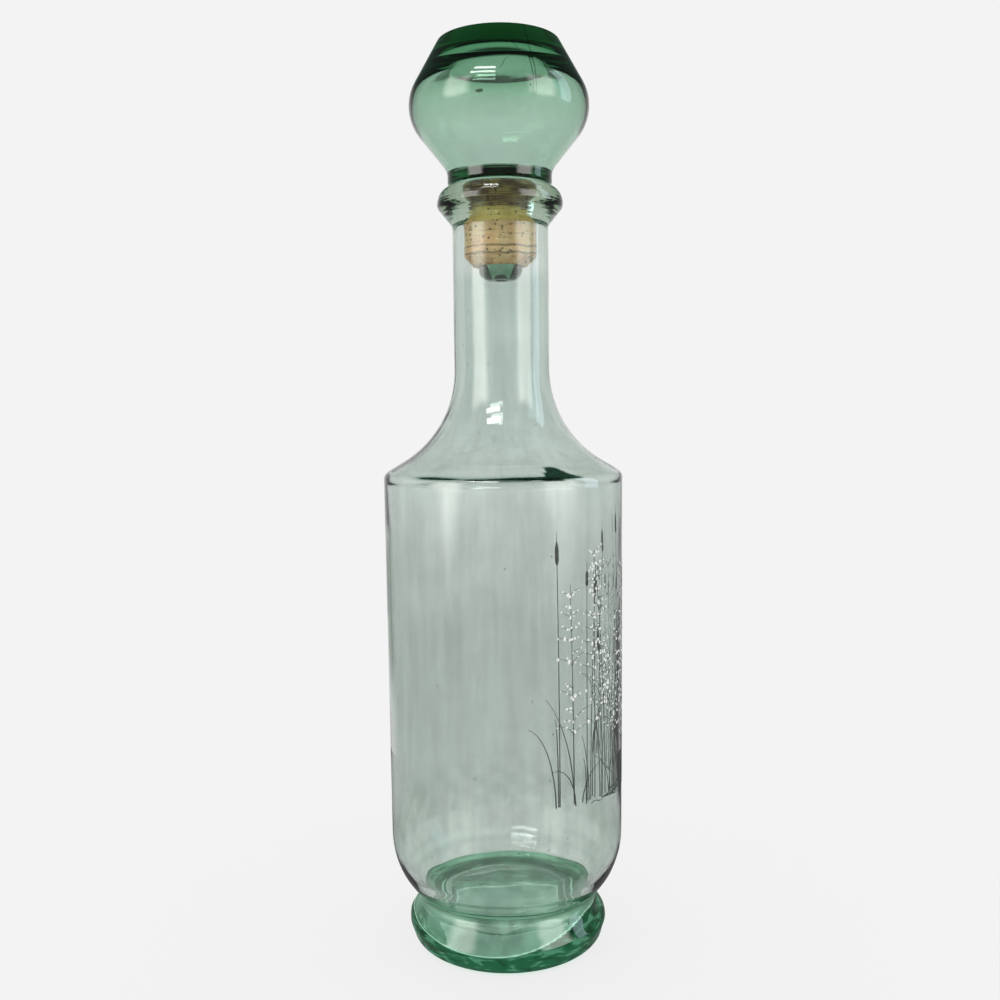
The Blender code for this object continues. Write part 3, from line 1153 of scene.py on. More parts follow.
@dataclass
class Bottle(Turned):
    """The bottle: a rim foot, a waist, a straight body, a conical shoulder, a neck and a collar."""

    foot_radius: float = 36.4 * MM
    foot_edge_radius: float = 33.7 * MM
    foot_rounding: float = 4.4 * MM
    rim_height: float = 8.3 * MM
    rim_rounding: float = 3.7 * MM
    waist_height: float = 15.8 * MM
    waist_radius: float = 32.0 * MM
    waist_tuck: float = 0.4 * MM
    waist_rounding: float = 3.5 * MM
    ring_inner_radius: float = 26.2 * MM
    ring_rounding: float = 1.5 * MM
    hollow_radius: float = 25.4 * MM
    hollow_wall_height: float = 9.8 * MM
    hollow_crown_width: float = 4.5 * MM
    hollow_height: float = 12.8 * MM
    hollow_rounding: float = 4.0 * MM
    floor_thickness: float = 4.7 * MM
    floor_margin: float = 3.2 * MM
    floor_rounding: float = 12.0 * MM
    heel_height: float = 13.6 * MM
    heel_rounding: float = 33.3 * MM
    body_radius: float = 42.6 * MM
    body_draft: float = 0.6 * MM
    body_height: float = 141.2 * MM
    body_wall: float = 2.1 * MM
    shoulder_wall: float = 2.6 * MM
    shoulder_angle: float = math.radians(30.9)
    shoulder_rounding: float = 3.2 * MM
    neck_wall: float = 3.9 * MM
    neck_sweep: float = 37.7 * MM
    neck_height: float = 71.3 * MM
    collar_overhang: float = 5.3 * MM
    collar_slope_height: float = 6.4 * MM
    collar_rounding: float = 6.2 * MM
    collar_under_rounding: float = 3.0 * MM
    lip_rounding: float = 1.2 * MM
    crease_height: float = 8.3 * MM
    crease_lean: float = 4.0 * MM
    crease_sag: float = 7.5 * MM
    crease_below_waist: float = 0.3 * MM
    ridge: Bell = Bell(0.0, 0.45 * MM, 0.22 * MM)
    waist_lift: float = 3.6 * MM
    waist_lift_foot: float = 8.0 * MM
    waist_lift_top: float = 34.0 * MM
    heel_lift_share: float = 0.6
    heel_lift_foot: float = 22.0 * MM
    heel_lift_top: Fade = Fade(36.0 * MM, 24.0 * MM)
    pool_rise: Fade = Fade(3.0 * MM, 0.3 * MM)
    pool_reach: Fade = Fade(26.5 * MM, 22.0 * MM)
    pool_back: float = 5.0 * MM
    slow: Ripple = Ripple(11, 0.10 * MM, (1, 6), (0.5, 5.0))
    quick: Ripple = Ripple(12, 0.012 * MM, (6, 22), (10.0, 45.0))
    chill: Ripple = Ripple(13, 0.06 * MM, (2, 14), (90.0, 260.0), 20)
    pool_waves: Ripple = Ripple(15, 0.05 * MM, (0, 4), (20.0, 60.0), 10)
    bands: Ripple = Ripple(16, 0.05 * MM, (0, 2), (2400.0, 6400.0), 6)
    set_back: float = 0.03 * MM
    slow_outside: float = 0.2
    neck_evenness: float = 0.8
    neck_evens_over: float = 30 * MM
    middle: Fade = Fade(0.0, 12 * MM)
    grip: Fade = Fade(1.5 * MM, 5 * MM)
    chill_top: Fade = Fade(26 * MM, 12 * MM)
    pool_top: Fade = Fade(2.5 * MM, 0.0)
    # Painted light in the foot, and painted shade across the glass.
    light: PaintedFootLight = PaintedFootLight()
    dark: PaintedShade = PaintedShade()
    steps: int = 200
    longest: float = 2.2 * MM

    name = "bottle_body"

    def __post_init__(self) -> None:
        """Work out the levels and radii that follow from the sizes."""
        self.floor_level = self.hollow_height + self.floor_thickness
        self.heel_level = self.waist_height + self.heel_height
        self.heel_radius = self.body_radius - self.body_draft
        self.shoulder_level = self.heel_level + self.body_height
        self.neck_radius = self.fit.bore_radius + self.neck_wall
        drop = (self.body_radius - self.neck_radius) * math.tan(self.shoulder_angle)
        self.neck_foot_level = self.shoulder_level + drop
        self.collar_foot_level = self.neck_foot_level + self.neck_height
        self.collar_level = self.collar_foot_level + self.collar_slope_height
        self.collar_radius = self.neck_radius + self.collar_overhang

    def cone(self, radius: float) -> float:
        """Height of the inner shoulder cone at a radius."""
        start = self.shoulder_level - self.shoulder_wall / math.cos(self.shoulder_angle)
        return start + (self.body_radius - radius) * math.tan(self.shoulder_angle)

    def outline(self) -> list[Vector]:
        """Outline up the inside, over the lip, down the outside and under the foot.

        Returns:
            The outline's points, closer together at the foot, the shoulder and the collar.
        """
        inner = self.body_radius - self.body_wall
        bore = self.fit.bore_radius
        lip = self.fit.lip_level
        inside = [
            (0.0, self.floor_level, 0.0),
            (self.waist_radius - self.floor_margin, self.floor_level, self.floor_rounding),
            (self.heel_radius - self.body_wall, self.heel_level, self.heel_rounding - self.body_wall),
            (inner, self.cone(inner), self.shoulder_rounding),
            (bore, self.cone(bore), self.neck_sweep + self.neck_wall),
            (bore, lip, self.lip_rounding),
        ]
        outside = [
            (self.collar_radius, lip, self.collar_rounding),
            (self.collar_radius, self.collar_level, self.collar_under_rounding),
            (self.neck_radius, self.collar_foot_level, self.collar_under_rounding),
            (self.neck_radius, self.neck_foot_level, self.neck_sweep),
            (self.body_radius, self.shoulder_level, self.shoulder_rounding),
            (self.heel_radius, self.heel_level, self.heel_rounding),
            (self.waist_radius - self.waist_tuck, self.waist_height, self.waist_rounding),
            (self.foot_radius, self.rim_height, self.rim_rounding),
            (self.foot_edge_radius, 0.0, self.foot_rounding),
        ]
        underneath = [
            (self.ring_inner_radius, 0.0, self.ring_rounding),
            (self.hollow_radius, self.hollow_wall_height, self.hollow_rounding),
            (self.hollow_radius - self.hollow_crown_width, self.hollow_height, self.hollow_rounding),
            (0.0, self.hollow_height, 0.0),
        ]
        points = rounded(inside + outside + underneath, ARC_STEP, self.longest)
        for low, high, beyond, step in (
            (1.5 * MM, 24.0 * MM, 30.0 * MM, 0.7 * MM),
            (self.shoulder_level - 1 * MM, self.shoulder_level + 5 * MM, 30.0 * MM, 0.6 * MM),
            (self.collar_foot_level - 3 * MM, lip - 1 * MM, 15.5 * MM, 0.4 * MM),
        ):
            points = refined(points, low, high, beyond, step)
        return points

    def make_uneven(
        self,
        shell: Shell,
        inside: np.ndarray,
        under: np.ndarray,
        over_crease: np.ndarray,
        over_floor: np.ndarray,
    ) -> None:
        """Give the surface the unevenness of glass blown in a mould, and the ridge of the crease.

        Args:
            shell: the bottle's points.
            inside: which of them are inside.
            under: which of them are under the foot.
            over_crease: how far they lie over the crease.
            over_floor: how far they lie over the inner floor.
        """
        level, radius, angle = shell.level, shell.radius, shell.angle
        off_axis = self.middle.at(radius)
        grip = self.grip.at(level)
        in_neck = Fade(self.neck_foot_level, self.neck_foot_level + self.neck_evens_over).at(level)
        inner = self.slow.at(angle, level) + self.quick.at(angle, level)
        inner *= (1.0 - self.neck_evenness * in_neck) * off_axis
        outer = -self.set_back - self.slow_outside * np.abs(self.slow.at(angle + 1.3, level))
        outer -= np.abs(self.quick.at(angle + 0.6, level))
        outer += self.chill.at(angle, level) * self.chill_top.at(level)
        outer *= grip
        outer += self.ridge.at(over_crease)
        collar = Fade(self.collar_foot_level - 3 * MM, self.collar_foot_level + 2 * MM).at(level)
        collar *= Fade(self.fit.lip_level - 1 * MM, self.fit.lip_level - 4 * MM).at(level)
        outer += (self.bands.at(angle, level) - self.bands.depth) * collar
        below = self.chill.at(angle + 0.9, level) * grip * off_axis
        x, y = shell.places[:, 0], shell.places[:, 1]
        lift = self.pool_waves.at(x * 40.0, y) + self.pool_waves.at(y * 50.0, x + 0.01)
        lift *= self.pool_top.at(over_floor)
        shell.widen(np.where(inside, inner, np.where(under, below, outer)))
        shell.places[:, 2] += np.where(inside, lift, 0.0)

    def raise_waist(self, shell: Shell, inside: np.ndarray, outside: np.ndarray, front: np.ndarray) -> None:
        """Raise the front of the waist and of the heel inside it.

        Args:
            shell: the bottle's points.
            inside: which of them are inside.
            outside: which of them are outside.
            front: share that they face the front.
        """
        waist = Fade(self.waist_lift_foot, self.waist_height).at(shell.level)
        waist *= Fade(self.waist_lift_top, self.waist_height + 2 * MM).at(shell.level)
        heel = Fade(self.floor_level, self.heel_lift_foot).at(shell.level)
        heel *= self.heel_lift_top.at(shell.level)
        lift = np.where(outside, waist, np.where(inside, heel * self.heel_lift_share, 0.0))
        shell.places[:, 2] += lift * front * self.waist_lift

    def work(self, mesh: bpy.types.Mesh) -> None:
        """Work the turned surface, and mark where painted light and painted shade go on the glass.

        Args:
            mesh: the turned mesh, changed in place.
        """
        shell = Shell(mesh)
        floor_middle = self.hollow_height + self.floor_thickness / 2
        inside = (shell.radius < self.middle_radius(shell.level)) & (shell.level > floor_middle)
        under = (shell.radius < self.waist_radius - 3 * MM) & (shell.level < floor_middle)
        outside = ~(inside | under)
        aside = shell.places[:, 0] / self.foot_radius
        crease = self.crease_height + self.crease_lean * aside + self.crease_sag * aside**2
        crease = np.minimum(crease, self.waist_height - self.crease_below_waist)
        back = np.clip(np.sin(shell.angle), 0.0, 1.0) ** 0.5
        over_floor = shell.level - self.floor_level
        pool = self.pool_rise.at(over_floor) * self.pool_reach.at(shell.radius + self.pool_back * back)
        self.make_uneven(shell, inside, under, shell.level - crease, over_floor)
        front = np.clip(-shell.places[:, 1] / np.maximum(shell.radius, NEAR_AXIS), 0.0, 1.0) ** 1.5
        self.raise_waist(shell, inside, outside, front)
        level = shell.level
        zones = Zones(
            inside=inside,
            outside=outside,
            level=level,
            radius=shell.radius,
            angle=shell.angle,
            place_x=shell.places[:, 0],
            front=front,
            back=back,
            pool=pool,
            over_crease=level - crease,
            over_waist=level - self.waist_height,
            over_floor=level - self.floor_level,
            over_shoulder=level - self.shoulder_level,
        )
        self.light.put(mesh, zones)
        self.dark.put(mesh, zones, self.light.corners(shell.angle))
        shell.keep()

    def middle_radius(self, level: np.ndarray) -> np.ndarray:
        """Radius half way through the wall at each level, by straight steps between the outline's corners.

        Args:
            level: heights.

        Returns:
            Radii in metres.
        """
        steps = (
            (0.0, self.foot_radius, 3 * MM),
            (self.waist_height, self.waist_radius, 3 * MM),
            (self.heel_level, self.heel_radius, self.body_wall),
            (self.shoulder_level, self.body_radius, self.body_wall),
            (self.neck_foot_level, self.neck_radius + 6 * MM, self.neck_wall + 4 * MM),
            (self.neck_foot_level + 20 * MM, self.neck_radius, self.neck_wall),
            (self.fit.lip_level, self.neck_radius, self.neck_wall),
        )
        return np.interp(level, [step[0] for step in steps], [step[1] - step[2] / 2 for step in steps])


@dataclass
class Stopper(Turned):
    """The stopper: a hollow bulb with a thick flat top, a base over the lip and a vented peg."""

    base_overlap: float = 5.3 * MM
    base_height: float = 5.2 * MM
    base_rounding: float = 1.2 * MM
    base_floor: float = 3.6 * MM
    base_inner_rounding: float = 2.6 * MM
    flare_rounding: float = 6.3 * MM
    bulb_spread: float = 16.2 * MM
    lower_flank_height: float = 20.2 * MM
    upper_flank_height: float = 23.46 * MM
    bulb_rounding: float = 14.9 * MM
    bulb_wall: float = 2.7 * MM
    top_radius: float = 21.2 * MM
    top_rounding: float = 1.1 * MM
    top_thickness: float = 6.8 * MM
    ceiling_rounding: float = 18.0 * MM
    dome: float = 0.4 * MM
    throat_height: float = 1.0 * MM
    throat_rounding: float = 3.0 * MM
    peg_radius: float = 7.8 * MM
    peg_rounding: float = 4.0 * MM
    peg_wall: float = 3.4 * MM
    peg_proud: float = 4.8 * MM
    peg_end_thickness: float = 3.0 * MM
    vent_radius: float = 2.0 * MM
    vent_rounding: float = 0.6 * MM
    cork_length: float = 27.7 * MM
    seam_angle: float = math.radians(-67.5)
    seam_height: float = 0.05 * MM
    seam_half_width: float = 0.35 * MM
    seam_reach: float = math.radians(30.0)
    slow: Ripple = Ripple(21, 0.12 * MM, (1, 5), (2.0, 14.0))
    slow_outside: float = 0.25
    set_back: float = 0.02 * MM
    middle: Fade = Fade(0.0, 10 * MM)
    top_dish: float = 0.5 * MM
    dish_edge: Fade = Fade(4 * MM, 19 * MM)
    peg_core_shade: float = 0.38
    peg_end_painted_haze: float = 0.35
    steps: int = 192
    longest: float = 1.6 * MM

    name = "stopper_bulb"

    def __post_init__(self) -> None:
        """Work out the levels that follow from the sizes."""
        self.base_radius = self.fit.bore_radius + self.base_overlap
        self.flare_level = self.fit.base_level + self.base_height
        self.bulb_level = self.flare_level + self.lower_flank_height
        self.top_level = self.bulb_level + self.upper_flank_height
        self.ceiling_level = self.top_level - self.top_thickness
        self.bulb_radius = self.base_radius + self.bulb_spread
        self.cork_foot_level = self.fit.lip_level - self.cork_length
        self.peg_end_level = self.cork_foot_level - self.peg_proud

    def outline(self) -> list[Vector]:
        """Outline down the outside, round the peg's end and up the hollow.

        Returns:
            The outline's points.
        """
        hollow = self.peg_radius - self.peg_wall
        hollow_foot = self.peg_end_level + self.peg_end_thickness
        base_top = self.fit.base_level + self.base_floor
        cavity_foot = self.flare_level + 2 * self.throat_height
        outside = [
            (0.0, self.top_level, 0.0),
            (self.top_radius, self.top_level, self.top_rounding),
            (self.bulb_radius, self.bulb_level, self.bulb_rounding),
            (self.base_radius, self.flare_level, self.flare_rounding),
            (self.base_radius, self.fit.base_level, self.base_rounding),
            (self.peg_radius, self.fit.base_level, 0.0),
            (self.peg_radius, self.peg_end_level, self.peg_rounding),
        ]
        inside = [
            (self.vent_radius, self.peg_end_level, self.vent_rounding),
            (self.vent_radius, hollow_foot, self.vent_rounding),
            (hollow, hollow_foot + hollow, self.peg_rounding),
            (hollow, base_top - self.throat_height, self.throat_rounding),
            (self.base_radius - self.bulb_wall, base_top, self.base_inner_rounding),
            (self.base_radius - self.bulb_wall / 2, cavity_foot, self.flare_rounding),
            (self.bulb_radius - self.bulb_wall, self.bulb_level, self.bulb_rounding - self.bulb_wall),
            (self.top_radius - self.bulb_wall / 2, self.ceiling_level, self.ceiling_rounding),
            (0.0, self.ceiling_level + self.dome, 0.0),
        ]
        return rounded(outside + inside, ARC_STEP, self.longest)

    def work(self, mesh: bpy.types.Mesh) -> None:
        """Add the bulb's unevenness and the mould's seam, and mark the seam, and painted shade and painted
        light on the peg's end.

        Args:
            mesh: the turned mesh, changed in place.
        """
        shell = Shell(mesh)
        level, radius, angle = shell.level, shell.radius, shell.angle
        levels = [self.flare_level, self.bulb_level, self.ceiling_level, self.top_level]
        walls = [self.base_radius - self.bulb_wall, 30.0 * MM - self.bulb_wall / 2, self.top_radius, 0.0]
        inside = (radius < np.interp(level, levels, walls)) & (level > self.flare_level)
        gap = (angle - self.seam_angle) * radius
        seam = Bell(0.0, self.seam_half_width, self.seam_height).at(gap)
        seam *= Fade(self.flare_level + 3 * MM, self.flare_level + 10 * MM).at(level)
        outer = seam - self.slow_outside * np.abs(self.slow.at(angle + 2.0, level)) - self.set_back
        moved = np.where(inside, self.slow.at(angle, level), outer)
        moved *= Fade(self.flare_level, self.flare_level + 5 * MM).at(level) * self.middle.at(radius)
        near_seam = (np.abs(angle - self.seam_angle) < self.seam_reach) & ~inside
        mark(mesh, "seam", near_seam * Fade(self.bulb_level - 4 * MM, self.bulb_level + 3 * MM).at(level))
        # Painted shade on the peg end's core, and a painted soft glow round it.
        peg_end = Fade(self.cork_foot_level - 0.8 * MM, self.cork_foot_level - 2.0 * MM).at(level)
        core = Fade(self.peg_radius - 2.2 * MM, self.peg_radius - 3.0 * MM).at(radius)
        mark(mesh, "shade", self.peg_core_shade * peg_end * core)
        mark(mesh, "haze", self.peg_end_painted_haze * peg_end * (1.0 - core))
        dish = Fade(self.top_level - 1.0 * MM, self.top_level - 0.2 * MM).at(level)
        dish *= (1.0 - self.dish_edge.at(radius)) * self.top_dish
        shell.widen(moved)
        shell.places[:, 2] -= np.where(inside, 0.0, dish)
        shell.keep()


@dataclass
class CorkSleeve(Turned):
    """The cork on the stopper's peg, with pores and a crumbled inner end."""

    stopper: Stopper
    bore_rounding: float = 0.4 * MM
    top_rounding: float = 0.7 * MM
    chamfer: float = 1.4 * MM
    chamfer_rounding: float = 0.8 * MM
    foot_rounding: float = 0.5 * MM
    grain: Ripple = Ripple(31, 0.05 * MM, (8, 60), (100.0, 900.0), 24)
    pore_seed: int = 32
    pore_count: int = 150
    pore_levels: Span = (0.5, 27.0)
    pore_sizes: Span = (0.15, 0.6)
    pore_heights: Span = (0.6, 2.4)
    crumbs: Ripple = Ripple(33, 0.75 * MM, (7, 40), (20.0, 60.0), 18)
    crumb_stretch: float = 0.3
    taper_height: float = 5.0 * MM
    taper_depth: float = 1.5 * MM
    bites: Ripple = Ripple(34, 0.8 * MM, (5, 26), (0.0, 1.0), 16)
    longest: float = 0.35 * MM

    name = "cork_grain"
    closed = True

    def outline(self) -> list[Vector]:
        """Closed outline of the sleeve's section.

        Returns:
            The outline's points.
        """
        bore = self.stopper.peg_radius + self.fit.gap
        radius = self.fit.bore_radius - self.fit.gap
        top = self.fit.lip_level
        foot = self.stopper.cork_foot_level
        corners = [
            (bore, (top + foot) / 2, 0.0),
            (bore, top, self.bore_rounding),
            (radius, top, self.top_rounding),
            (radius, foot + self.chamfer, self.chamfer_rounding),
            (radius - self.chamfer, foot, self.foot_rounding),
            (bore, foot, self.bore_rounding),
            (bore, (top + foot) / 2, 0.0),
        ]
        return rounded(corners, math.radians(20), self.longest)[:-1]

    def pores(self, shell: Shell) -> np.ndarray:
        """Depth of the pores at each point.

        Args:
            shell: the cork's points.

        Returns:
            The depths in metres.
        """
        dice = np.random.RandomState(self.pore_seed)
        total = np.zeros_like(shell.radius)
        for _ in range(self.pore_count):
            turn = dice.uniform(-math.pi, math.pi)
            rise = self.stopper.cork_foot_level + dice.uniform(*self.pore_levels) * MM
            wide = dice.uniform(*self.pore_sizes) * MM
            tall = wide * dice.uniform(*self.pore_heights)
            deep = dice.uniform(*self.pore_sizes) * MM
            across = np.remainder(shell.angle - turn + math.pi, 2 * math.pi) - math.pi
            aside = ((across * shell.radius / wide) ** 2) + ((shell.level - rise) / tall) ** 2
            total += np.exp(-aside) * deep
        return total

    def work(self, mesh: bpy.types.Mesh) -> None:
        """Sink the grain and the pores, and crumble the inner end.

        Args:
            mesh: the turned mesh, changed in place.
        """
        shell = Shell(mesh)
        level, radius, angle = shell.level, shell.radius, shell.angle
        foot = self.stopper.cork_foot_level
        outer = radius > self.stopper.peg_radius + 2 * MM
        near_end = Fade(foot + 3.2 * MM, foot + 0.4 * MM).at(level)
        sunk = np.abs(self.grain.at(angle, level)) + self.pores(shell)
        sunk += np.abs(self.crumbs.at(angle, level * self.crumb_stretch)) * near_end
        sunk += Fade(foot + self.taper_height, foot).at(level) ** 1.5 * self.taper_depth
        bite = np.abs(self.bites.at(angle, np.zeros_like(level)))
        shell.widen(-sunk * outer)
        shell.places[:, 2] += bite * near_end * Fade(9 * MM, 11.5 * MM).at(radius)
        shell.keep()


class Growth(Enum):
    """Kinds of stalk in the enamel decoration."""

    BLADE = "blade"
    REED = "reed"
    SPRAY = "spray"


class EnamelTree:
    """Geometry Nodes tree that lays flat strokes and dots on the bottle's wall."""

    section_sides = 6
    bead_fineness = 2
    bead_least: Scale = (0.7, 1.0, 0.7)
    bead_most: Scale = (1.2, 1.0, 1.35)
    sunk = 0.05 * MM

    def __init__(self) -> None:
        """Build the tree with its named inputs."""
        sizes = ("Thickness", "Body radius", "Heel radius", "Heel level", "Body height")
        inputs = {"Dots": "Bool", "Seed": "Int", "Finish": "Material", **dict.fromkeys(sizes, "Float")}
        wiring, given = new_tree("enamel", "Strokes", inputs)
        self.tree = wiring.tree
        width = self.kept(wiring, "width")
        lines = wiring.node("GeometryNodeMeshToCurve", {}, {0: given["Strokes"]})
        sockets = {"Resolution": self.section_sides, "Radius": 1.0}
        section = wiring.node("GeometryNodeCurvePrimitiveCircle", {}, sockets)
        sockets = {"Curve": lines, "Profile Curve": section, "Scale": width, "Fill Caps": True}
        swept = wiring.node("GeometryNodeCurveToMesh", {}, sockets)
        sockets = {"Radius": 1.0, "Subdivisions": self.bead_fineness}
        ball = wiring.node("GeometryNodeMeshIcoSphere", {}, sockets)
        points = wiring.node("GeometryNodeMeshToPoints", {}, {"Mesh": given["Strokes"]})
        sockets = {0: self.bead_least, 1: self.bead_most, "Seed": given["Seed"]}
        odd = wiring.node("FunctionNodeRandomValue", {"data_type": "FLOAT_VECTOR"}, sockets)
        spread = wiring.node("ShaderNodeVectorMath", {"operation": "SCALE"}, {0: odd, "Scale": width})
        sockets = {"Points": points, "Instance": ball, "Scale": spread}
        beads = wiring.node("GeometryNodeInstanceOnPoints", {}, sockets)
        real = wiring.node("GeometryNodeRealizeInstances", {}, {0: beads})
        sockets = {"Switch": given["Dots"], "False": swept, "True": real}
        flat = wiring.node("GeometryNodeSwitch", {"input_type": "GEOMETRY"}, sockets)
        bent = self.bent(wiring, given, width)
        laid = wiring.node("GeometryNodeSetPosition", {}, {"Geometry": flat, "Position": bent})
        end_tree(wiring, laid, given["Finish"])

    def kept(self, wiring: Wiring, title: str) -> Wire:
        """Number kept on each point of a stroke under a title."""
        return wiring.node("GeometryNodeInputNamedAttribute", {"data_type": "FLOAT"}, {"Name": title})

    def bent(self, wiring: Wiring, given: dict[str, Wire], width: Wire) -> Wire:
        """Places of flat strokes, flattened further and bent round the body.

        Args:
            wiring: the tree's wiring.
            given: the tree's inputs.
            width: half width of the stroke at each point.

        Returns:
            The places. The strokes are drawn with X along the girth and Z up.
        """
        along, depth, level = wiring.parts(wiring.node("GeometryNodeInputPosition"))
        share = (level - given["Heel level"]) / given["Body height"]
        wall = share * (given["Body radius"] - given["Heel radius"]) + given["Heel radius"]
        angle = along / given["Body radius"]
        radius = wall - self.sunk + self.kept(wiring, "proud") - depth / width * given["Thickness"]
        across = angle.maths("SINE") * radius
        back = angle.maths("COSINE") * radius * -1.0
        return wiring.node("ShaderNodeCombineXYZ", {}, {0: across, 1: back, 2: level})


@dataclass
class Stroke:
    """One enamel line, drawn flat: places as (along the girth, height), with half widths."""

    places: np.ndarray
    widths: np.ndarray
    proud: float


@dataclass
class EnamelPrint:
    """Enamel decoration fired on the body: tall reeds, arching blades and sprays of small white buds.

    Widths are half widths, as shares of the line.
    """

    bottle: Bottle
    dark: EnamelFinish
    white: EnamelFinish
    seed: int = 7
    ground: float = 61.0 * MM
    tallest: float = 100.0 * MM
    first: float = 12.0 * MM
    last: float = 96.0 * MM
    line: float = 0.19 * MM
    thickness: float = 0.04 * MM
    layers: int = 7
    layer_step: float = 0.004 * MM
    curl: float = 1.8
    blade_rise: Span = (18.0, 52.0)
    blade_reach: float = 16.0
    blade_droop: Span = (0.1, 0.45)
    blade_widths: Span = (1.6, 0.4)
    reed_rise: Span = (0.55, 0.98)
    reed_reach: float = 7.0
    reed_widths: Span = (1.3, 0.7)
    head_length: Span = (5.0, 9.0)
    head_shape: tuple[float, ...] = (0.3, 0.85, 1.0, 1.0, 1.0, 1.0, 0.9, 0.6, 0.15)
    head_width: float = 4.2
    head_proud: float = 0.02 * MM
    awn_steps: Span = (2.2 * MM, 4.0 * MM)
    awn_widths: Span = (0.6, 0.3)
    spray_rise: Span = (0.42, 0.86)
    spray_reach: float = 9.0
    spray_widths: Span = (1.5, 0.5)
    spray_points: int = 20
    twigs_from: int = 6
    twig_missing: float = 0.25
    twig_size: Span = (3.0, 9.0)
    twig_slope: Span = (0.5, 1.1)
    twig_widths: Span = (0.7, 0.35)
    bud: float = 0.52 * MM
    bud_sizes: Span = (0.55, 1.25)
    bud_scatter: float = 0.6
    bud_proud: float = 0.03 * MM
    bank_lines: int = 16
    bank_length: Span = (6.0, 20.0)
    bank_rise: Span = (-3.2, 0.8)
    bank_waves: Span = (4.0, 11.0)
    bank_depth: float = 0.4 * MM
    bank_widths: Span = (0.8, 2.2)

    def __post_init__(self) -> None:
        """Start the dice and the empty drawings."""
        self.dice = np.random.RandomState(self.seed)
        self.lines: list[Stroke] = []
        self.buds: list[Stroke] = []

    def either_way(self, most: float) -> float:
        """Length between a number of millimetres one way and as many the other way."""
        return self.dice.uniform(-most, most) * MM

    def curve(
        self, start: tuple[float, float], reach: float, rise: float, droop: float, count: int = 14
    ) -> np.ndarray:
        """A leaning curve that bends over towards its tip.

        Args:
            start: its foot, as (along, height).
            reach: how far it leans along the girth.
            rise: how high its tip stands over its foot.
            droop: share of the rise that the tip falls back by.
            count: number of points.

        Returns:
            Its points, one per row.
        """
        share = np.linspace(0.0, 1.0, count)
        along = start[0] + reach * share**self.curl
        height = start[1] + rise * (share - droop * share**3)
        return np.column_stack((along, height))

    def draw(self, places: np.ndarray, widths: Span) -> None:
        """Keep a dark line that tapers.

        Args:
            places: its points.
            widths: half widths at its start and its end, as shares of the line.
        """
        share = np.linspace(0.0, 1.0, len(places))
        proud = (len(self.lines) % self.layers) * self.layer_step
        foot, tip = (width * self.line for width in widths)
        self.lines.append(Stroke(places, foot + (tip - foot) * share, proud))

    def blade(self, along: float) -> None:
        """Draw a long arching blade.

        Args:
            along: where its foot stands along the girth.
        """
        rise = self.dice.uniform(*self.blade_rise) * MM
        reach = self.either_way(self.blade_reach)
        foot = (along, self.ground + self.either_way(1.0))
        self.draw(self.curve(foot, reach, rise, self.dice.uniform(*self.blade_droop)), self.blade_widths)

    def reed(self, along: float) -> None:
        """Draw a tall stalk with a seed head.

        Args:
            along: where its foot stands along the girth.
        """
        rise = self.tallest * self.dice.uniform(*self.reed_rise)
        places = self.curve((along, self.ground), self.either_way(self.reed_reach), rise, 0.0, 18)
        self.draw(places, self.reed_widths)
        tip = places[-1]
        lean = places[-1] - places[-2]
        lean /= np.hypot(*lean)
        length = self.dice.uniform(*self.head_length) * MM
        share = np.linspace(0.0, 1.0, len(self.head_shape))[:, None]
        widths = np.array(self.head_shape) * self.line * self.head_width
        self.lines.append(Stroke(tip - lean * length * (0.9 - share), widths, self.head_proud))
        self.draw(np.vstack((tip, *(tip + lean * step for step in self.awn_steps))), self.awn_widths)

    def spray(self, along: float) -> None:
        """Draw a branching stalk whose twigs end in white buds.

        Args:
            along: where its foot stands along the girth.
        """
        rise = self.tallest * self.dice.uniform(*self.spray_rise)
        reach = self.either_way(self.spray_reach)
        stem = self.curve((along, self.ground), reach, rise, 0.0, self.spray_points)
        self.draw(stem, self.spray_widths)
        for at in range(self.twigs_from, self.spray_points):
            for side in (-1.0, 1.0):
                if self.dice.uniform() < self.twig_missing:
                    continue
                size = self.dice.uniform(*self.twig_size) * MM * (1.15 - at / 28)
                rise = size * self.dice.uniform(*self.twig_slope)
                twig = self.curve(tuple(stem[at]), side * size, rise, 0.2, 7)
                self.draw(twig, self.twig_widths)
                for place in (twig[-1], twig[-3], twig[-5]):
                    near = place + self.dice.uniform(-self.bud_scatter, self.bud_scatter, 2) * MM
                    size_now = self.bud * self.dice.uniform(*self.bud_sizes)
                    self.buds.append(Stroke(near[None, :], np.array([size_now]), self.bud_proud))

    def bank(self) -> None:
        """Draw the low bank that the plants stand on."""
        share = np.linspace(0.0, 1.0, 12)
        for _ in range(self.bank_lines):
            start = self.dice.uniform(self.first + 14 * MM, self.last - 20 * MM)
            length = self.dice.uniform(*self.bank_length) * MM
            level = self.ground + self.dice.uniform(*self.bank_rise) * MM
            wave = np.sin(share * self.dice.uniform(*self.bank_waves) + self.dice.uniform(0.0, 6.0))
            places = np.column_stack((start + share * length, level + wave * self.bank_depth))
            self.draw(places, (self.dice.uniform(*self.bank_widths), 0.4))

    def compose(self) -> None:
        """Lay out the whole drawing."""
        plan = (
            (Growth.REED, self.reed, 12, 9.0 * MM),
            (Growth.SPRAY, self.spray, 10, 14.0 * MM),
            (Growth.BLADE, self.blade, 34, 6.0 * MM),
        )
        for kind, draw, count, inset in plan:
            LOG.info("enamel: %d of kind %s", count, kind.value)
            for place in np.linspace(self.first + inset, self.last - inset, count):
                draw(place + self.either_way(3.0))
        self.bank()

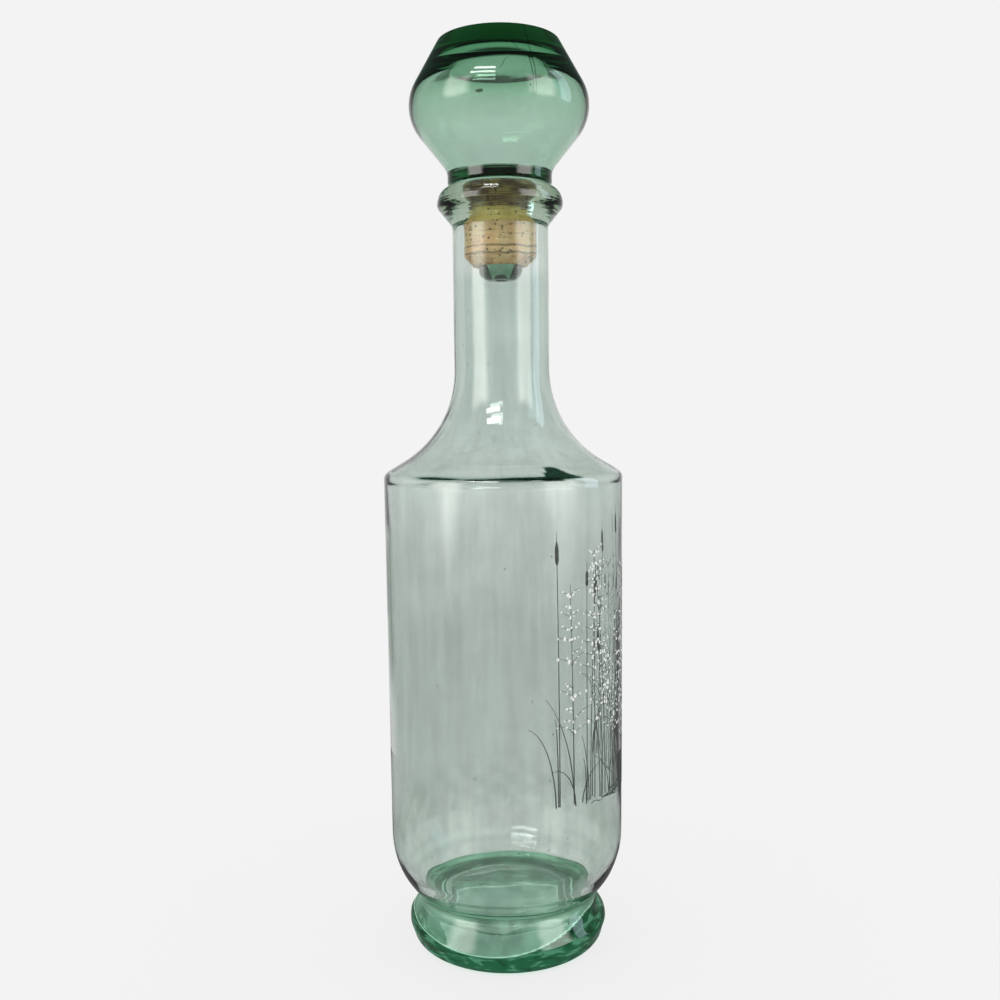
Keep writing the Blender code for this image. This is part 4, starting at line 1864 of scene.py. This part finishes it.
    def sheet(self, name: str, strokes: Sequence[Stroke]) -> bpy.types.Mesh:
        """Flat line drawing as a mesh with its widths as attributes.

        Args:
            name: the mesh's name.
            strokes: the strokes in it.

        Returns:
            A mesh of edges in the XZ plane.
        """
        places, edges, widths, prouds = [], [], [], []
        for stroke in strokes:
            first = len(places)
            places.extend((x, 0.0, z) for x, z in stroke.places)
            edges.extend((first + i, first + i + 1) for i in range(len(stroke.places) - 1))
            widths.extend(stroke.widths)
            prouds.extend([stroke.proud] * len(stroke.places))
        mesh = bpy.data.meshes.new(name)
        mesh.from_pydata(places, edges, [])
        mark(mesh, "width", np.array(widths))
        mark(mesh, "proud", np.array(prouds))
        return mesh

    def build(self) -> list[bpy.types.Object]:
        """Make and dress the dark lines and the white buds.

        Returns:
            The two pieces.
        """
        self.compose()
        bottle = self.bottle
        tree = EnamelTree().tree
        sizes = {
            "Thickness": self.thickness,
            "Body radius": bottle.body_radius,
            "Heel radius": bottle.heel_radius,
            "Heel level": bottle.heel_level,
            "Body height": bottle.body_height,
        }
        pieces = []
        for name, strokes, finish, dots in (
            ("enamel_lines", self.lines, self.dark, False),
            ("enamel_buds", self.buds, self.white, True),
        ):
            values = {"Dots": dots, "Seed": self.seed, "Finish": finish.material(), **sizes}
            pieces.append(grown(name, self.sheet(f"{name}_drawing", strokes), tree, values))
        return pieces


@dataclass(frozen=True)
class Patch:
    """A soft-edged window in the studio, as angles in degrees seen from the decanter.

    Turn 0 is towards the camera and 90 towards its right. Point is how far its edges rise to the sides,
    and seen low and seen high are the shares of it that show through the glass low down and high up.
    """

    turn: float
    rise: float
    half_width: float
    half_height: float
    colour: Colour
    soft: float = 2.0
    point: float = 0.0
    seen_low: float = 0.2
    seen_high: float = 1.0

    def mask(self, turn: Wire, rise: Wire) -> Wire:
        """Share of this patch in each direction.

        Args:
            turn: the direction's turn in degrees.
            rise: its rise in degrees.

        Returns:
            A value between 0 and 1.
        """
        across = (turn - self.turn).absolute()
        up = (rise - self.rise - across * self.point).absolute()
        inner = self.half_width - self.soft / 2
        inner_up = self.half_height - self.soft / 2
        return across.fade(inner + self.soft, inner) * up.fade(inner_up + self.soft, inner_up)


@dataclass
class Studio:
    """Pale floor, plain light from all round and the camera. Turns and rises are in degrees."""

    patches: tuple[Patch, ...]
    floor_radius: float = 0.235
    floor_thickness: float = 0.004
    floor_gap: float = 0.02 * MM
    floor_sides: int = 128
    grain_scale: float = 900.0
    grain_depth: float = 0.004
    pale: float = 0.8963
    shadow_relief: float = 0.88
    shadow_reach: Span = (0.12, 0.21)
    foot_radius: float = 33.7 * MM
    hollow_radius: float = 26.2 * MM
    under_blur: float = 3.0 * MM
    # Painted shade under the foot's ring and hollow, tinted green as by the light through the glass.
    painted_shade_under_ring: Colour = (0.60, 0.84, 0.73)
    painted_shade_under_hollow: Colour = (0.30, 0.50, 0.40)
    glossy_share: float = 0.2
    room: Colour = (0.20, 0.21, 0.20)
    room_to: Span = (125.0, 165.0)
    mirrored_pale: float = 0.75
    ceiling: Colour = (0.07, 0.115, 0.09)
    mirrored_ceiling_from: Span = (10.0, 28.0)
    ceiling_from: Span = (50.0, 68.0)
    high_from: Span = (2.0, 14.0)
    lens: float = 39.6
    sensor_width: float = 36.0
    camera_place: tuple[float, float, float] = (-0.0012, -0.3942, 0.19515)
    pitch: float = math.radians(5.0)
    roll: float = math.radians(0.66)

    def rays(self, wiring: Wiring) -> tuple[Wire, Wire, Wire]:
        """Whether a ray comes from the camera, from a gloss or through glass.

        Args:
            wiring: the tree that asks.

        Returns:
            The three answers, each 0 or 1.
        """
        camera = wiring.node("ShaderNodeLightPath", {}, {}, "Is Camera Ray")
        outputs = camera.socket.node.outputs
        return camera, Wire(wiring, outputs["Is Glossy Ray"]), Wire(wiring, outputs["Is Transmission Ray"])

    def floor_material(self) -> bpy.types.Material:
        """Pale floor that keeps a light shadow, with painted green shade under the foot as by the light
        through the glass, and painted darker in reflections.

        Returns:
            The material.
        """
        material, wiring = new_material("pale_floor")
        place = wiring.place()
        pales = ((self.pale - self.grain_depth,) * 3, (self.pale + self.grain_depth,) * 3)
        tone = wiring.blend(wiring.noise(place, self.grain_scale, 2.0), *pales)
        shaded = wiring.node("ShaderNodeBsdfDiffuse", {}, {"Color": tone})
        direct, gloss, through = self.rays(wiring)
        glossy = gloss * (1 - through)
        shown = direct + glossy + through
        across, along, _ = wiring.parts(place)
        out = (across * across + along * along) ** 0.5
        under = out.fade(self.foot_radius, self.foot_radius - self.under_blur)
        hollow = out.fade(self.hollow_radius, self.hollow_radius - self.under_blur)
        # Painted shade under the foot, tinted green.
        tone = wiring.blend(under, tone, self.painted_shade_under_ring)
        tone = wiring.blend(hollow, tone, self.painted_shade_under_hollow)
        # Painted shade: in reflections the floor keeps only the glossy share of its tone.
        tone = wiring.blend(glossy * (1 - self.glossy_share), tone, BLACK)
        glow = wiring.node("ShaderNodeEmission", {}, {"Color": tone, "Strength": 1.0})
        full = under.at_least(out.fade(*self.shadow_reach)).at_least(glossy)
        relief = shown.at_most(1.0) * (full * (1.0 - self.shadow_relief) + self.shadow_relief)
        wiring.node("ShaderNodeOutputMaterial", {}, {"Surface": wiring.mixed(relief, shaded, glow)})
        return material

    def floor(self) -> bpy.types.Object:
        """Make the pale floor that the foot stands on.

        Returns:
            The floor's object.
        """
        shape = bmesh.new()
        bmesh.ops.create_cone(
            shape,
            cap_ends=True,
            cap_tris=False,
            segments=self.floor_sides,
            radius1=self.floor_radius,
            radius2=self.floor_radius,
            depth=self.floor_thickness,
        )
        drop = -self.floor_thickness / 2 - self.floor_gap
        bmesh.ops.translate(shape, verts=shape.verts, vec=(0.0, 0.0, drop))
        mesh = bpy.data.meshes.new("floor")
        shape.to_mesh(mesh)
        shape.free()
        mesh.materials.append(self.floor_material())
        return linked("floor", mesh)

    def surroundings(self) -> None:
        """Light the scene from all round, and show the pale backdrop and the soft windows in the glass."""
        world = bpy.data.worlds.new("studio")
        bpy.context.scene.world = world
        world.use_nodes = True
        world.node_tree.nodes.clear()
        wiring = Wiring(world.node_tree)
        x, y, z = wiring.parts(wiring.node("ShaderNodeTexCoord", {}, {}, "Generated"))
        turn = x.maths("ARCTAN2", y * -1.0) * (180 / math.pi)
        rise = z.maths("ARCSINE") * (180 / math.pi)
        behind = turn.absolute().fade(*self.room_to)
        mirrored = wiring.blend(behind, self.room, (self.mirrored_pale,) * 3)
        mirrored = wiring.blend(rise.fade(*self.mirrored_ceiling_from), mirrored, self.ceiling)
        seen = wiring.blend(rise.fade(*self.ceiling_from), (self.pale,) * 3, self.ceiling)
        high = rise.fade(*self.high_from)
        for patch in self.patches:
            mask = patch.mask(turn, rise)
            mirrored = wiring.blend(mask, mirrored, patch.colour)
            share = high * (patch.seen_high - patch.seen_low) + patch.seen_low
            seen = wiring.blend(mask * share, seen, patch.colour)
        colours = ((1.0, 1.0, 1.0), (self.pale,) * 3, mirrored, seen)
        result, *others = (
            wiring.node("ShaderNodeBackground", {}, {"Color": colour, "Strength": 1.0}) for colour in colours
        )
        for ray, background in zip(self.rays(wiring), others):
            result = wiring.mixed(ray, result, background)
        wiring.node("ShaderNodeOutputWorld", {}, {"Surface": result})

    def camera(self) -> None:
        """Stand the camera at the photograph's place."""
        data = bpy.data.cameras.new("camera")
        data.lens = self.lens
        data.sensor_width = self.sensor_width
        camera = linked("camera", data)
        turn = Euler((math.pi / 2 - self.pitch, 0.0, 0.0)).to_matrix()
        camera.matrix_world = (turn @ Euler((0.0, 0.0, -self.roll)).to_matrix()).to_4x4()
        camera.location = self.camera_place
        bpy.context.scene.camera = camera

    def build(self) -> None:
        """Set up floor, light, camera and plain colour view."""
        self.floor()
        self.surroundings()
        self.camera()
        bpy.context.scene.view_settings.view_transform = "Standard"


# Tint of the bottle's glass by height. Besides its green, it holds painted shade and light: the body is
# greyed down as if less light came through it, the glass beside the cork is kept clear so the cork reads
# lighter, and the collar is darker.
BOTTLE_TINTS = (
    (0.0, (0.97, 0.99, 0.98)),
    (0.018, (0.95, 0.99, 0.97)),
    (0.032, (0.89, 0.935, 0.91)),
    (0.055, (0.748, 0.792, 0.768)),
    (0.110, (0.748, 0.792, 0.768)),
    (0.140, (0.81, 0.84, 0.825)),
    (0.165, (0.875, 0.915, 0.897)),
    (0.178, (0.89, 0.93, 0.913)),
    (0.200, (0.83, 0.88, 0.86)),
    (0.238, (0.83, 0.88, 0.86)),
    (0.243, (0.99, 0.99, 0.99)),
    (0.2590, (0.99, 0.99, 0.97)),
    (0.2625, (0.68, 0.69, 0.54)),
    (0.2660, (0.74, 0.75, 0.66)),
    (0.271, (0.80, 0.84, 0.76)),
)
STOPPER_TINTS = (
    (0.238, (0.96, 0.96, 0.96)),
    (0.280, (0.91, 0.92, 0.92)),
    (0.320, (0.90, 0.96, 0.92)),
)
WINDOWS = (
    Patch(-55.0, 12.0, 16.0, 19.0, (5.4, 5.3, 5.0), soft=12.0, point=0.25, seen_high=0.4),
    Patch(56.0, 12.0, 17.0, 19.0, (5.0, 5.0, 4.8), soft=12.0, point=0.2, seen_high=0.4),
    Patch(-23.0, 54.0, 18.0, 3.0, (18.0, 18.0, 18.0)),
    Patch(-23.0, 43.0, 18.0, 2.5, (15.0, 15.0, 15.0)),
    Patch(92.0, 20.0, 9.0, 24.0, (2.2, 2.7, 3.1)),
)


def main() -> None:
    """Build the decanter and its studio."""
    logging.basicConfig(level=logging.INFO, format="%(name)s: %(message)s")
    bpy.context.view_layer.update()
    fit = Fit()
    turning = TurningTree()
    stopper_finish = GlassFinish(
        "stopper_green",
        STOPPER_TINTS,
        density=250.0,
        passed=(0.48, 0.73, 0.58),
        streak_share=0.03,
        haze=(0.05, 0.07, 0.05),
        seam_turn=Stopper.seam_angle,
        fleck=(-6.4 * MM, -30.8 * MM, 295.6 * MM),
    )
    bottle = Bottle(fit, GlassFinish("bottle_green", BOTTLE_TINTS))
    stopper = Stopper(fit, stopper_finish)
    rings = (stopper.cork_foot_level + 6.0 * MM, stopper.cork_foot_level + 3.6 * MM)
    cork = CorkSleeve(fit, CorkFinish("cork_grain", rings), stopper)
    for part, body, node, slot in (
        (bottle, "bottle", "bottle", "bottle_glass"),
        (cork, "cork", "cork_sleeve", "cork"),
        (stopper, "stopper", "stopper", "stopper_glass"),
    ):
        piece = part.build(turning)
        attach(piece, body)
        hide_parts(node)
        LOG.info("%s: %d triangles, rides %s", piece.name, 2 * len(piece.data.polygons), body)
    dark = EnamelFinish("enamel_dark", (0.035, 0.045, 0.04), (0.075, 0.085, 0.075))
    white = EnamelFinish("enamel_white", (0.86, 0.88, 0.86), (0.74, 0.77, 0.75), roughness=0.5)
    for piece in EnamelPrint(bottle, dark, white).build():
        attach(piece, "bottle")
        LOG.info("%s: %d faces, rides bottle", piece.name, len(piece.data.polygons))
    Studio(WINDOWS).build()


if __name__ == "__main__":
    main()
